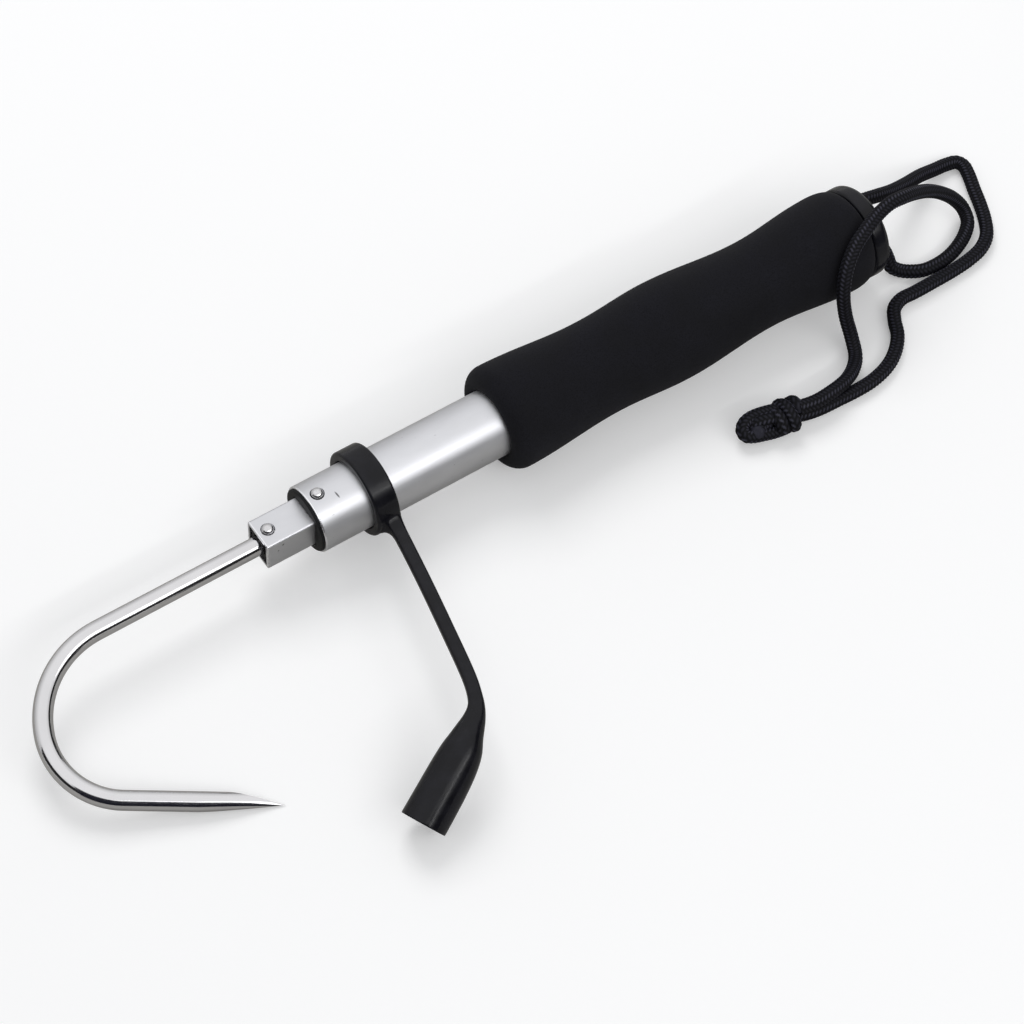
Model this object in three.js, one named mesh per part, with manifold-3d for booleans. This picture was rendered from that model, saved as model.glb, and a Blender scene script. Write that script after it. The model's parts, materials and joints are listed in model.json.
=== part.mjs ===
// Telescopic fishing gaff: a round outer pole with a foam grip, a square inner pole that slides
// out of it and locks with a spring button, a round-bend hook that snaps into the inner pole,
// a rubber tip guard on the outer pole and a braided wrist lanyard through the end cap.
// Millimetres. The origin is the centre of the end cap's rear face, +X runs along the pole to
// the hook, +Z is the side that the buttons face, and the hook lies towards +Y.

import * as THREE from 'three';
import { mergeVertices } from 'three/addons/utils/BufferGeometryUtils.js';
import Module from 'manifold-3d';

const wasm = await Module();
wasm.setup();

// Fits
const fitGap = 0.3;            // between pieces that touch
const cutOverrun = 2;          // how far a cutter runs past what it cuts

// Outer pole
const tubeRadius = 11;
const tubeWall = 1.1;
const tubeLength = 203.5;

// Square inner pole
const squareSide = 11.5;
const squareWall = 1;
const squareCorner = 0.7;
const squareReach = 17.2;      // stands out of the outer pole when closed

// End cap
const capRadius = 15.9;
const capThickness = 6.5;
const capRimRound = 1.7;
const capFrontChamfer = 0.8;
const capBossLength = 4.2;     // part in the grip's bore, behind the outer pole
const capSpigotLength = 7.5;   // part in the outer pole
const capSpigotWall = 2.2;
const capWeb = 2.5;            // solid end of the hollow spigot

// Foam grip
const gripLength = 141.3;
const gripRearRadius = 17.1;
const gripRearWaistRadius = 14.8;
const gripSwellRadius = 16.9;
const gripWaistRadius = 15.6;
const gripFrontRadius = 17.5;
const gripRearRound = 2;
const gripFrontRound = 5.2;

// Front bushing
const bushingBody = 12.3;
const bushingFlange = 0.7;
const bushingInset = 0.6;      // flange edge below the outer pole's surface

// Rear guide of the inner pole
const guideLength = 9;
const guideSpigot = 4.5;
const guideRest = 1.3;         // from the end cap's spigot when closed
const guideChamfer = 0.8;
const guidePinRadius = 1;

// Snap buttons
const buttonRadius = 1.95;
const buttonProud = 1.5;
const buttonDome = 1.25;
const buttonCollar = 0.95;     // collar stands out this far round the button
const buttonCollarHeight = 0.6;
const collarTrim = 0.1;        // what is left of the hook button's collar in front
const poleButtonInset = 3.8;   // behind the outer pole's front end
const hookButtonInset = 3.6;   // behind the inner pole's front end

// Leaf springs under the buttons
const leafThickness = 0.35;
const leafWidth = 4;
const poleLeafLength = 24;
const poleLeafBend = 1.6;
const hookLeafLength = 7.4;
const hookLeafBend = 0.9;
const hookLeafFoot = 3.2;

// Hook
const wireRadius = 3;
const shankLength = 68.1;      // straight part, from its end in the plug to the bend
const bendRadius = 30.7;       // first part of the bend
const bendAngle = 71.8;        // degrees
const throatRadius = 23.4;     // second part of the bend
const pointOpening = 31.2;     // degrees between the point and the shank
const pointLength = 46.1;
const pointTaper = 25;
const pointFlatLength = 15;    // flat on the side of the shank
const pointFlatDepth = 2;      // its far end, below the wire's centre
const pointFlatClear = 0.1;    // the flat's plane misses the very tip by this much
const pointOffset = 0.6;       // the tip lies this far outside the wire's centre
const hookDip = 13.6;          // degrees that the hook's plane dips
const shankFlatHeight = 0.3;   // flat under the button, above the wire's centre

// Hook plug
const plugRecess = 0.6;
const plugLength = 14;
const plugWeb = 0.6;           // wall left in front of the button's pocket
const plugFloor = 1;           // wall left behind the shank
const crossPinRadius = 0.9;
const crossPinSetback = 7.9;   // behind the plug's front face
const crossPinDrop = 1.2;

// Tip guard
const ringWall = 2.8;
const ringWidth = 7.2;
const ringSetback = 17.6;      // from the outer pole's front end
const ringRound = 0.9;
const guardReach = 100;
const strapWidth = 4.3;
const strapThickness = 3.4;
const guardMouthRadius = 7.1;
const guardMouthWall = 1.2;
const guardLip = 0.4;
const guardBoreDepth = 22;
const guardBoreEnd = 3.6;      // radius at the closed end

// Lanyard
const cordRadius = 2.25;
const laceRadius = 8;          // half the distance between the two cord holes
const laceAngle = 135;         // degrees from +Y to the hole of strand a
const knotLength = 24;
const knotRadius = 5.3;
const knotWrapAngle = 25;      // degrees that the wrap leans
const knotHeading = -13.5;     // degrees from +X, in the plane of the table

// Facets
const roundSides = 40;
const gripSides = 36;
const smallSides = 20;
const wireSides = 20;
const bendSteps = 16;
const cordSides = 8;
const cordSteps = 36;
const laceSteps = 32;
const leafSteps = 30;
const cornerSteps = 3;
const roundSteps = 4;
const gripSpanSteps = 5;
const domeSteps = 5;
const pointSteps = 8;
const guardSteps = 44;
const guardSides = 16;

// Shape tables, as shares of the sizes named beside them
// Grip: stations along its length from the rear end, and the radius at each
const gripStationShares = [0.045, 0.27, 0.52, 0.71, 0.962];
const gripStationRadii = [
  gripRearRadius, gripRearWaistRadius, gripSwellRadius, gripWaistRadius, gripFrontRadius,
];
// Ogive of the hook's point: how full it grows from the tip
const ogivePowerShare = 1.5;
// Tip guard: its centreline from the middle of the ring's wall, as shares of guardReach
const guardPathShares = [
  [-0.008, 0, -0.022], [-0.008, 0.024, -0.021], [-0.003, 0.06, -0.018], [0.018, 0.169, -0.012],
  [0.045, 0.303, -0.006], [0.079, 0.454, 0.001], [0.112, 0.602, 0.008], [0.131, 0.654, 0.011],
  [0.146, 0.686, 0.012], [0.163, 0.709, 0.012], [0.186, 0.73, 0.01], [0.211, 0.748, 0.008],
  [0.232, 0.763, 0.004], [0.258, 0.782, -0.006], [0.308, 0.809, -0.033], [0.374, 0.84, -0.069],
  [0.449, 0.874, -0.106],
];
// Its section at each of those, from the plain strap (0) to the cap's mouth (1)
const guardSwellShares = [
  0.34, 0.12, 0.03, 0, 0, 0, 0, 0, 0.05, 0.15, 0.29, 0.44, 0.58, 0.8, 0.93, 0.98, 1,
];
// Knot: centre, half length and half width of its two lobes, of knotLength and knotRadius
const firstLobeShares = [0.36, 0.36, 0.94];
const lastLobeShares = [0.72, 0.28, 0.86];

// Lanyard routes, chosen by hand, from the end cap's holes to the knot
const strandRouteA = [
  [-4.2, -5.7, 5.6], [-10.4, -6, 3.6], [-18.8, -7.6, -0.8], [-27.9, -10.3, -5.6],
  [-37.9, -13.3, -10.2], [-46.3, -15, -13.9], [-52.8, -15.3, -15.2], [-56.2, -14.3, -15.2],
  [-57.3, -11.8, -15.2], [-56.2, -7.7, -15.2], [-53.5, -1.5, -15.2], [-50.8, 5, -15.2],
  [-47.5, 11.6, -15.2], [-43.7, 16.7, -15.2], [-38.5, 19.9, -15.2], [-31.9, 21.5, -15.2],
  [-24.4, 22.2, -15.2], [-15.9, 22.4, -15.2], [-7.8, 22.5, -15.2], [-1.9, 22.4, -15.2],
  [2.5, 24.3, -15.2], [5.8, 28.6, -15.2], [8.5, 33.4, -15.2], [13, 37.9, -15.2],
  [18.9, 41.4, -15.2], [26.6, 43.5, -15.2], [34.1, 43.9, -15.2], [41.3, 43.6, -15.2],
  [48, 43.3, -15.2], [52.6, 42.6, -15.2], [57, 41.5, -15],
];
const strandRouteB = [
  [-3, 5.7, -5.8], [-5.5, 6.9, -8], [-6.5, 8.6, -11], [-7, 10.5, -13.7],
  [-9.4, 12.7, -15.1], [-12.4, 15, -15.2], [-16.1, 16.7, -15.2], [-21.1, 17.2, -15.2], [-26.7, 16.7, -15.2],
  [-32.3, 15, -15.2], [-38, 12.1, -15.2], [-42.1, 8.5, -14.6], [-42.5, 4.9, -12],
  [-38.7, 3.1, -6.5], [-31.8, 2.8, 0.5], [-23.5, 3.7, 7.5], [-14.6, 5.6, 13.6],
  [-7.7, 7.1, 17.2], [-2.3, 7.7, 18.4], [3.2, 8.8, 18], [10.2, 11.3, 17],
  [16.5, 13.8, 14.6], [21.7, 17.1, 9.9], [24.2, 20.3, 3], [24.1, 23.2, -5.2],
  [23.8, 27.5, -12], [25.6, 32.6, -14.9], [30.2, 37, -13.9], [37, 40.8, -11.5],
  [44.7, 42.5, -10.3], [50.7, 42.8, -10.2], [57.1, 41.8, -10.2],
];
const knotStart = [54.1, 42.2, -12.1];

// Places along the pole
const squareHalf = squareSide / 2;
const squareInnerHalf = squareHalf - squareWall;
const tubeInnerRadius = tubeRadius - tubeWall;
const sleeveRadius = tubeInnerRadius - fitGap;
const gripBoreRadius = tubeRadius + fitGap;
const gripRear = capThickness + fitGap;
const capBossFront = capThickness + capBossLength;
const spigotFront = capBossFront + capSpigotLength;
const tubeRear = capBossFront + fitGap;
const tubeFront = tubeRear + tubeLength;
const guideRear = spigotFront + guideRest;
const guideFront = guideRear + guideLength;
const guidePinX = guideFront + guideSpigot / 2;
const squareRear = guideFront + fitGap;
const squareFront = tubeFront + squareReach;
const bushingRear = tubeFront - bushingBody;
const poleTravel = bushingRear - guideFront - fitGap;
const poleButtonX = tubeFront - poleButtonInset;
const extendedButtonX = poleButtonX - poleTravel;
const hookButtonX = squareFront - hookButtonInset;
const plugFront = squareFront - plugRecess;
const plugRear = plugFront - plugLength;
const plugHalf = squareInnerHalf - fitGap;
const pocketFront = plugFront - plugWeb;
const pocketRear = hookButtonX - hookLeafLength - hookLeafBend - leafThickness - fitGap;
const crossPinX = plugFront - crossPinSetback;
const shankStart = plugRear + plugFloor + fitGap;
const ringCentre = tubeFront - ringSetback - ringWidth / 2;
const ringInnerRadius = tubeRadius + fitGap;
const ringOuterRadius = ringInnerRadius + ringWall;

// Heights of the buttons
const buttonHoleRadius = buttonRadius + fitGap;
const collarTop = squareInnerHalf - fitGap;
const collarBottom = collarTop - buttonCollarHeight;
const collarRadius = buttonRadius + buttonCollar;
const poleButtonTop = tubeRadius + buttonProud;
const hookButtonTop = squareHalf + buttonProud;
const extendedButtonTop = tubeInnerRadius - fitGap;
const extendedButtonSink = poleButtonTop - extendedButtonTop;
const leafHalf = leafThickness / 2;
const leafUnderCollar = collarBottom - fitGap - leafHalf;

// Materials
const finish = (color, roughness, metalness) => (
  new THREE.MeshStandardMaterial({ color, roughness, metalness })
);
const aluminium = finish(0xc9cacd, 0.38, 1);
const stainless = finish(0xb9babd, 0.16, 1);
const springSteel = finish(0x8f9196, 0.3, 1);
const blackPlastic = finish(0x141416, 0.45, 0);
const blackRubber = finish(0x1a1a1d, 0.5, 0);
const blackFoam = finish(0x17171a, 0.95, 0);
const blackCord = finish(0x101012, 0.85, 0);

// Helpers
const radians = THREE.MathUtils.degToRad;
const degrees = THREE.MathUtils.radToDeg;
const lerp = THREE.MathUtils.lerp;
const axisX = new THREE.Vector3(1, 0, 0);
const axisY = new THREE.Vector3(0, 1, 0);
const axisZ = new THREE.Vector3(0, 0, 1);

// Quarter turn in equal steps, as [cosine, sine]
function quarter(steps) {
  return Array.from({ length: steps + 1 }, (_, i) => {
    const angle = (i / steps) * (Math.PI / 2);
    return [i === steps ? 0 : Math.cos(angle), Math.sin(angle)];
  });
}

// A closed body from a geometry: corners joined, flat triangles dropped, faces outward
function toSolid(geometry) {
  geometry.deleteAttribute('normal');
  geometry.deleteAttribute('uv');
  const merged = mergeVertices(geometry);
  const position = merged.attributes.position;
  const index = merged.index.array;
  const triangles = [];
  let volume = 0;
  for (let i = 0; i < index.length; i += 3) {
    const ids = [index[i], index[i + 1], index[i + 2]];
    if (new Set(ids).size < ids.length) continue;
    const [a, b, c] = ids.map((id) => new THREE.Vector3().fromBufferAttribute(position, id));
    volume += a.dot(b.cross(c));
    triangles.push(ids);
  }
  const facing = volume > 0 ? triangles : triangles.map((ids) => ids.reverse());
  return new wasm.Manifold(new wasm.Mesh({
    numProp: 3,
    vertProperties: new Float32Array(position.array),
    triVerts: new Uint32Array(facing.flat()),
  }));
}

const gaff = new THREE.Group();

function addPiece(name, solid, material) {
  const { vertProperties, triVerts } = solid.getMesh();
  const geometry = new THREE.BufferGeometry();
  geometry.setAttribute('position', new THREE.BufferAttribute(vertProperties, 3));
  geometry.setIndex(new THREE.BufferAttribute(triVerts, 1));
  geometry.computeVertexNormals();
  const mesh = new THREE.Mesh(geometry, material);
  mesh.name = name;
  gaff.add(mesh);
}

// Turned body along the pole from profile points [radius, x]
function revolve(profile, sides) {
  const points = profile.map(([radius, x]) => new THREE.Vector2(radius, x));
  if (points[0].x > 0) points.push(points[0].clone());
  return toSolid(new THREE.LatheGeometry(points, sides).rotateZ(-Math.PI / 2));
}

function rod(radius, from, to, sides = smallSides) {
  return revolve([[0, from], [radius, from], [radius, to], [0, to]], sides);
}

// Rod that stands up from one height to another
function post(radius, x, from, to) {
  return rod(radius, from, to).rotate([0, -90, 0]).translate([x, 0, 0]);
}

// Rod across the pole
function crossRod(radius, length, x, z) {
  return rod(radius, -length / 2, length / 2).rotate([0, 0, 90]).translate([x, 0, z]);
}

function block(from, to) {
  const size = to.map((value, i) => value - from[i]);
  const middle = to.map((value, i) => (value + from[i]) / 2);
  return toSolid(new THREE.BoxGeometry(...size).translate(...middle));
}

// Square bar with rounded edges, along the pole
function squareBar(side, corner, from, to) {
  const inner = side / 2 - corner;
  const shape = new THREE.Shape();
  shape.absarc(inner, inner, corner, 0, Math.PI / 2);
  shape.absarc(-inner, inner, corner, Math.PI / 2, Math.PI);
  shape.absarc(-inner, -inner, corner, Math.PI, Math.PI * 1.5);
  shape.absarc(inner, -inner, corner, Math.PI * 1.5, Math.PI * 2);
  shape.closePath();
  const bar = new THREE.ExtrudeGeometry(shape, {
    depth: to - from, bevelEnabled: false, curveSegments: cornerSteps,
  });
  return toSolid(bar.rotateY(Math.PI / 2).translate(from, 0, 0));
}

// Arc in the plane of two unit vectors, from one angle to another
class PlaneArc extends THREE.Curve {
  constructor(centre, u, v, radius, from, to) {
    super();
    Object.assign(this, { centre, u, v, radius, from, to });
  }

  getPoint(t, target = new THREE.Vector3()) {
    const angle = lerp(this.from, this.to, t);
    return target.copy(this.centre)
      .addScaledVector(this.u, this.radius * Math.cos(angle))
      .addScaledVector(this.v, this.radius * Math.sin(angle));
  }
}

function joinCurves(...curves) {
  const path = new THREE.CurvePath();
  curves.forEach((curve) => path.add(curve));
  return path;
}

function polygon(points) {
  return new THREE.Shape(points.map(([x, y]) => new THREE.Vector2(x, y)));
}

function circle(radius, sides) {
  return polygon(Array.from({ length: sides }, (_, i) => {
    const angle = (i / sides) * 2 * Math.PI;
    return [radius * Math.cos(angle), radius * Math.sin(angle)];
  }));
}

function sweep(section, path, steps) {
  return toSolid(new THREE.ExtrudeGeometry(section, {
    extrudePath: path, steps, bevelEnabled: false,
  }));
}

// Loft of elliptical sections along a line of centres that is nowhere upright:
// the widths lie level and the heights stand across them
function loft(sections, sides) {
  const last = sections.length - 1;
  const positions = [];
  const index = [];
  sections.forEach(({ centre, width, height }, i) => {
    const tangent = new THREE.Vector3().subVectors(
      sections[Math.min(i + 1, last)].centre, sections[Math.max(i - 1, 0)].centre,
    ).normalize();
    const level = new THREE.Vector3().crossVectors(tangent, axisZ).normalize();
    const up = new THREE.Vector3().crossVectors(level, tangent);
    for (let j = 0; j < sides; j += 1) {
      const angle = (j / sides) * 2 * Math.PI;
      positions.push(...centre.clone()
        .addScaledVector(level, (width / 2) * Math.cos(angle))
        .addScaledVector(up, (height / 2) * Math.sin(angle)).toArray());
    }
  });
  for (let i = 0; i < last; i += 1) {
    for (let j = 0; j < sides; j += 1) {
      const [a, b] = [i * sides + j, i * sides + ((j + 1) % sides)];
      index.push(a, a + sides, b, b, a + sides, b + sides);
    }
  }
  for (let j = 1; j < sides - 1; j += 1) {
    index.push(0, j, j + 1);
    index.push(last * sides, last * sides + j + 1, last * sides + j);
  }
  const geometry = new THREE.BufferGeometry();
  geometry.setAttribute('position', new THREE.Float32BufferAttribute(positions, 3));
  geometry.setIndex(index);
  return toSolid(geometry);
}

// Outer pole: a round tube with the button hole near its front end
function outerTube() {
  const tube = revolve([
    [tubeRadius, tubeRear], [tubeRadius, tubeFront],
    [tubeInnerRadius, tubeFront], [tubeInnerRadius, tubeRear],
  ], roundSides);
  return tube.subtract(post(buttonHoleRadius, poleButtonX, 0, tubeRadius + cutOverrun));
}

// Front bushing: a flanged plug with a square bore and a hole for the pole button
function frontBushing() {
  const flangeRadius = tubeRadius - bushingInset;
  const flangeRear = tubeFront + fitGap;
  const flangeFront = flangeRear + bushingFlange;
  const body = revolve([
    [0, bushingRear], [sleeveRadius, bushingRear], [sleeveRadius, flangeRear],
    [flangeRadius, flangeRear], [flangeRadius, flangeFront], [0, flangeFront],
  ], roundSides);
  const boreSide = squareSide + 2 * fitGap;
  const bore = squareBar(
    boreSide, squareCorner, bushingRear - cutOverrun, flangeFront + cutOverrun,
  );
  return body.subtract(bore).subtract(post(buttonHoleRadius, poleButtonX, 0, tubeRadius));
}

// Inner pole: a square tube with three button holes on top and a cross hole for the guide's pin
function squareTube() {
  const insideSide = 2 * squareInnerHalf;
  let tube = squareBar(squareSide, squareCorner, squareRear, squareFront).subtract(
    squareBar(insideSide, fitGap, squareRear - cutOverrun, squareFront + cutOverrun),
  );
  for (const x of [extendedButtonX, poleButtonX, hookButtonX]) {
    tube = tube.subtract(post(buttonHoleRadius, x, 0, squareSide));
  }
  return tube.subtract(crossRod(guidePinRadius + fitGap, 2 * squareSide, guidePinX, 0));
}

// Rear guide: a round runner on the inner pole's end, with a square spigot and its pin
function rearGuide() {
  const disc = revolve([
    [0, guideRear], [sleeveRadius - guideChamfer, guideRear],
    [sleeveRadius, guideRear + guideChamfer], [sleeveRadius, guideFront - guideChamfer],
    [sleeveRadius - guideChamfer, guideFront], [0, guideFront],
  ], roundSides);
  const spigot = squareBar(
    2 * plugHalf, fitGap, guideFront - guideChamfer, guideFront + guideSpigot,
  );
  const pinHole = crossRod(guidePinRadius + fitGap, squareSide, guidePinX, 0);
  return disc.add(spigot).subtract(pinHole);
}

// Snap button: a domed pin with a collar that rests under the inner pole's wall
function snapButton(x, top, sink) {
  const dome = quarter(domeSteps).map(([cosine, sine]) => (
    [buttonRadius * cosine, top - buttonDome + buttonDome * sine]
  ));
  const pin = revolve([
    [0, collarBottom - sink], [collarRadius, collarBottom - sink],
    [collarRadius, collarTop - sink], [buttonRadius, collarTop - sink], ...dome,
  ], smallSides);
  return pin.rotate([0, -90, 0]).translate([x, 0, 0]);
}

// The hook's button has its collar cut back in front, where the plug's wall stands
function hookButton() {
  const trim = block(
    [hookButtonX + buttonRadius + collarTrim, -squareHalf, 0],
    [squareFront, squareHalf, squareHalf],
  );
  return snapButton(hookButtonX, hookButtonTop, 0).subtract(trim);
}

// Leaf spring: a foot, a bend, and a leg that rises to the button's collar.
// The bend lies behind the button where reach is -1 and in front of it where reach is 1.
function leafSpring({ x, reach, floor, seat, foot, leg, bend, tip }) {
  const bendX = x + reach * leg;
  const footEnd = new THREE.Vector3(bendX, 0, floor);
  const seatPoint = new THREE.Vector3(x, 0, seat);
  const outward = axisX.clone().multiplyScalar(reach);
  const rise = Math.atan2(seat - floor - 2 * bend, leg);
  const centre = new THREE.Vector3(bendX, 0, floor + bend);
  const turn = new PlaneArc(centre, outward, axisZ, bend, -Math.PI / 2, Math.PI / 2 - rise);
  const path = joinCurves(
    new THREE.LineCurve3(new THREE.Vector3(bendX - reach * foot, 0, floor), footEnd),
    turn,
    new THREE.LineCurve3(turn.getPoint(1), seatPoint),
    new THREE.LineCurve3(seatPoint, new THREE.Vector3(x - reach * tip, 0, seat)),
  );
  const [halfThick, halfWide] = [leafHalf, leafWidth / 2];
  const strip = polygon([
    [-halfThick, -halfWide], [halfThick, -halfWide], [halfThick, halfWide],
    [-halfThick, halfWide],
  ]);
  return sweep(strip, path, leafSteps);
}

// The pole's springs stand on the inner pole's floor
function poleLeaf(x, reach, sink) {
  return leafSpring({
    x,
    reach,
    floor: fitGap + leafHalf - squareInnerHalf,
    seat: leafUnderCollar - sink,
    foot: poleLeafLength,
    leg: poleLeafLength,
    bend: poleLeafBend,
    tip: buttonRadius,
  });
}

// The hook's spring stands on the flat of the shank
function hookLeaf() {
  return leafSpring({
    x: hookButtonX,
    reach: -1,
    floor: shankFlatHeight + fitGap + leafHalf,
    seat: leafUnderCollar,
    foot: hookLeafFoot,
    leg: hookLeafLength,
    bend: hookLeafBend,
    tip: buttonRadius,
  });
}

// Hook: a wire with a round bend in two radii and an ogive point with a flat on the side of
// the shank, drawn level and then turned down about the pole's axis
function hookWire() {
  const turn = radians(bendAngle);
  const straight = Math.PI - radians(pointOpening);
  const inward = axisY.clone().negate();
  const bendCentre = new THREE.Vector3(shankStart + shankLength, bendRadius, 0);
  const throatCentre = bendCentre.clone()
    .addScaledVector(axisX, (bendRadius - throatRadius) * Math.sin(turn))
    .addScaledVector(axisY, (throatRadius - bendRadius) * Math.cos(turn));
  const bend = new PlaneArc(bendCentre, inward, axisX, bendRadius, 0, turn);
  const throat = new PlaneArc(throatCentre, inward, axisX, throatRadius, turn, straight);
  const base = throat.getPoint(1);
  const along = new THREE.Vector3(Math.cos(straight), Math.sin(straight), 0);
  const outward = new THREE.Vector3(along.y, -along.x, 0);
  const wire = 2 * wireRadius;
  const full = (centre) => ({ centre, width: wire, height: wire });
  const sections = [
    full(new THREE.Vector3(shankStart, 0, 0)),
    ...bend.getPoints(bendSteps).map(full),
    ...throat.getPoints(bendSteps).slice(1).map(full),
  ];
  for (let i = 0; i <= pointSteps; i += 1) {
    const share = 1 - i / pointSteps;
    const size = wire * (1 - (1 - share) ** ogivePowerShare);
    const centre = base.clone()
      .addScaledVector(along, pointLength - share * pointTaper)
      .addScaledVector(outward, pointOffset * (1 - share));
    sections.push({ centre, width: size, height: size });
  }
  const flatEnd = sections.at(-1).centre.clone().addScaledVector(outward, -pointFlatClear);
  const flat = block([-wire, -wire, -wire], [2 * pointTaper, 0, wire])
    .rotate([0, 0, -degrees(Math.atan2(pointFlatDepth, pointFlatLength))])
    .rotate([0, 0, degrees(Math.atan2(-along.y, -along.x))])
    .translate(flatEnd.toArray());
  return loft(sections, wireSides).subtract(flat).rotate([-hookDip, 0, 0]);
}

function hook() {
  const flat = block(
    [shankStart - cutOverrun, -squareHalf, shankFlatHeight],
    [pocketFront, squareHalf, squareHalf],
  );
  const pinHole = crossRod(crossPinRadius + fitGap, squareSide, crossPinX, -crossPinDrop);
  return hookWire().subtract(flat).subtract(pinHole);
}

// Hook plug: a square block on the shank, open on top for the button and its spring
function hookPlug() {
  const bore = rod(wireRadius + fitGap, shankStart - fitGap, plugFront + cutOverrun);
  const pocketHalf = collarRadius + fitGap;
  const pocket = block(
    [pocketRear, -pocketHalf, shankFlatHeight - fitGap],
    [pocketFront, pocketHalf, squareHalf],
  );
  const pinHole = crossRod(crossPinRadius + fitGap, squareSide, crossPinX, -crossPinDrop);
  return squareBar(2 * plugHalf, fitGap, plugRear, plugFront)
    .subtract(bore).subtract(pocket).subtract(pinHole);
}

// Foam grip: swells and waists along its length, rounded at both ends
function foamGrip() {
  const rearRim = gripRearRadius - gripRearRound;
  const frontRim = gripFrontRadius - gripFrontRound;
  const rearLength = gripStationShares[0] * gripLength;
  const frontLength = (1 - gripStationShares.at(-1)) * gripLength;
  const front = gripRear + gripLength;
  const profile = quarter(roundSteps).map(([cosine, sine]) => (
    [rearRim + gripRearRound * sine, gripRear + rearLength * (1 - cosine)]
  ));
  for (let k = 0; k + 1 < gripStationShares.length; k += 1) {
    for (let i = 1; i <= gripSpanSteps; i += 1) {
      const t = i / gripSpanSteps;
      const ease = (1 - Math.cos(Math.PI * t)) / 2;
      const share = lerp(gripStationShares[k], gripStationShares[k + 1], t);
      const radius = lerp(gripStationRadii[k], gripStationRadii[k + 1], ease);
      profile.push([radius, gripRear + share * gripLength]);
    }
  }
  for (const [cosine, sine] of quarter(roundSteps).slice(1)) {
    profile.push([frontRim + gripFrontRound * cosine, front - frontLength * (1 - sine)]);
  }
  profile.push([gripBoreRadius, front], [gripBoreRadius, gripRear]);
  return revolve(profile, gripSides);
}

// Full ring on the end cap's rear face, half of it inside the cap, through both cord holes
function laceRing(radius) {
  const torus = new THREE.TorusGeometry(laceRadius, radius, cordSides, laceSteps);
  return toSolid(torus.rotateX(radians(laceAngle)));
}

// End cap: a rubber disc with a boss in the grip, a hollow spigot in the pole, and a tunnel
// in which the lanyard turns back
function endCap() {
  const bossRadius = gripBoreRadius - fitGap;
  const hollowRadius = sleeveRadius - capSpigotWall;
  const rim = quarter(roundSteps).map(([cosine, sine]) => (
    [capRadius - capRimRound * (1 - sine), capRimRound * (1 - cosine)]
  ));
  const cap = revolve([
    [0, 0], ...rim,
    [capRadius, capThickness - capFrontChamfer],
    [capRadius - capFrontChamfer, capThickness],
    [bossRadius, capThickness],
    [bossRadius, capBossFront],
    [sleeveRadius, capBossFront],
    [sleeveRadius, spigotFront],
    [hollowRadius, spigotFront],
    [hollowRadius, capBossFront + capWeb],
    [0, capBossFront + capWeb],
  ], roundSides);
  return cap.subtract(laceRing(cordRadius + fitGap));
}

// Lanyard: the turn inside the end cap, two loose strands and the knot that joins them
function lanyardTurn() {
  const far = 2 * laceRadius;
  return laceRing(cordRadius).intersect(block([fitGap, -far, -far], [far, far, far]));
}

function strand(side, route) {
  const angle = radians(laceAngle);
  const exit = [0, side * laceRadius * Math.cos(angle), side * laceRadius * Math.sin(angle)];
  const points = [exit, ...route].map((point) => new THREE.Vector3(...point));
  const path = new THREE.CatmullRomCurve3(points, false, 'centripetal');
  return sweep(circle(cordRadius, cordSides), path, cordSteps);
}

function knotLobe([centreShare, lengthShare, widthShare]) {
  const width = widthShare * knotRadius;
  const lobe = new THREE.SphereGeometry(1, smallSides, smallSides / 2);
  return toSolid(
    lobe.rotateZ(Math.PI / 2).scale(lengthShare * knotLength, width, width)
      .translate(centreShare * knotLength, 0, 0),
  );
}

// Clearance for the end of a strand that enters the knot
function strandSocket(route) {
  const [from, to] = route.slice(-2).map((point) => new THREE.Vector3(...point));
  const beyond = to.clone().add(to.clone().sub(from).setLength(fitGap));
  return sweep(circle(cordRadius + fitGap, cordSides), new THREE.LineCurve3(from, beyond), 1);
}

function lanyardKnot() {
  const torus = new THREE.TorusGeometry(
    knotRadius - cordRadius, cordRadius, cordSides, smallSides,
  );
  const wrap = torus.rotateY(Math.PI / 2).rotateZ(radians(knotWrapAngle));
  return knotLobe(firstLobeShares)
    .add(knotLobe(lastLobeShares))
    .add(toSolid(wrap.translate(firstLobeShares[0] * knotLength, 0, 0)))
    .rotate([0, 0, knotHeading])
    .translate(knotStart)
    .subtract(strandSocket(strandRouteA))
    .subtract(strandSocket(strandRouteB));
}

// Tip guard: one rubber moulding of a ring on the pole, a strap and a hollow cap
function guardSwell(t) {
  const place = t * (guardSwellShares.length - 1);
  const k = Math.min(Math.floor(place), guardSwellShares.length - 2);
  return lerp(guardSwellShares[k], guardSwellShares[k + 1], place - k);
}

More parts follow.
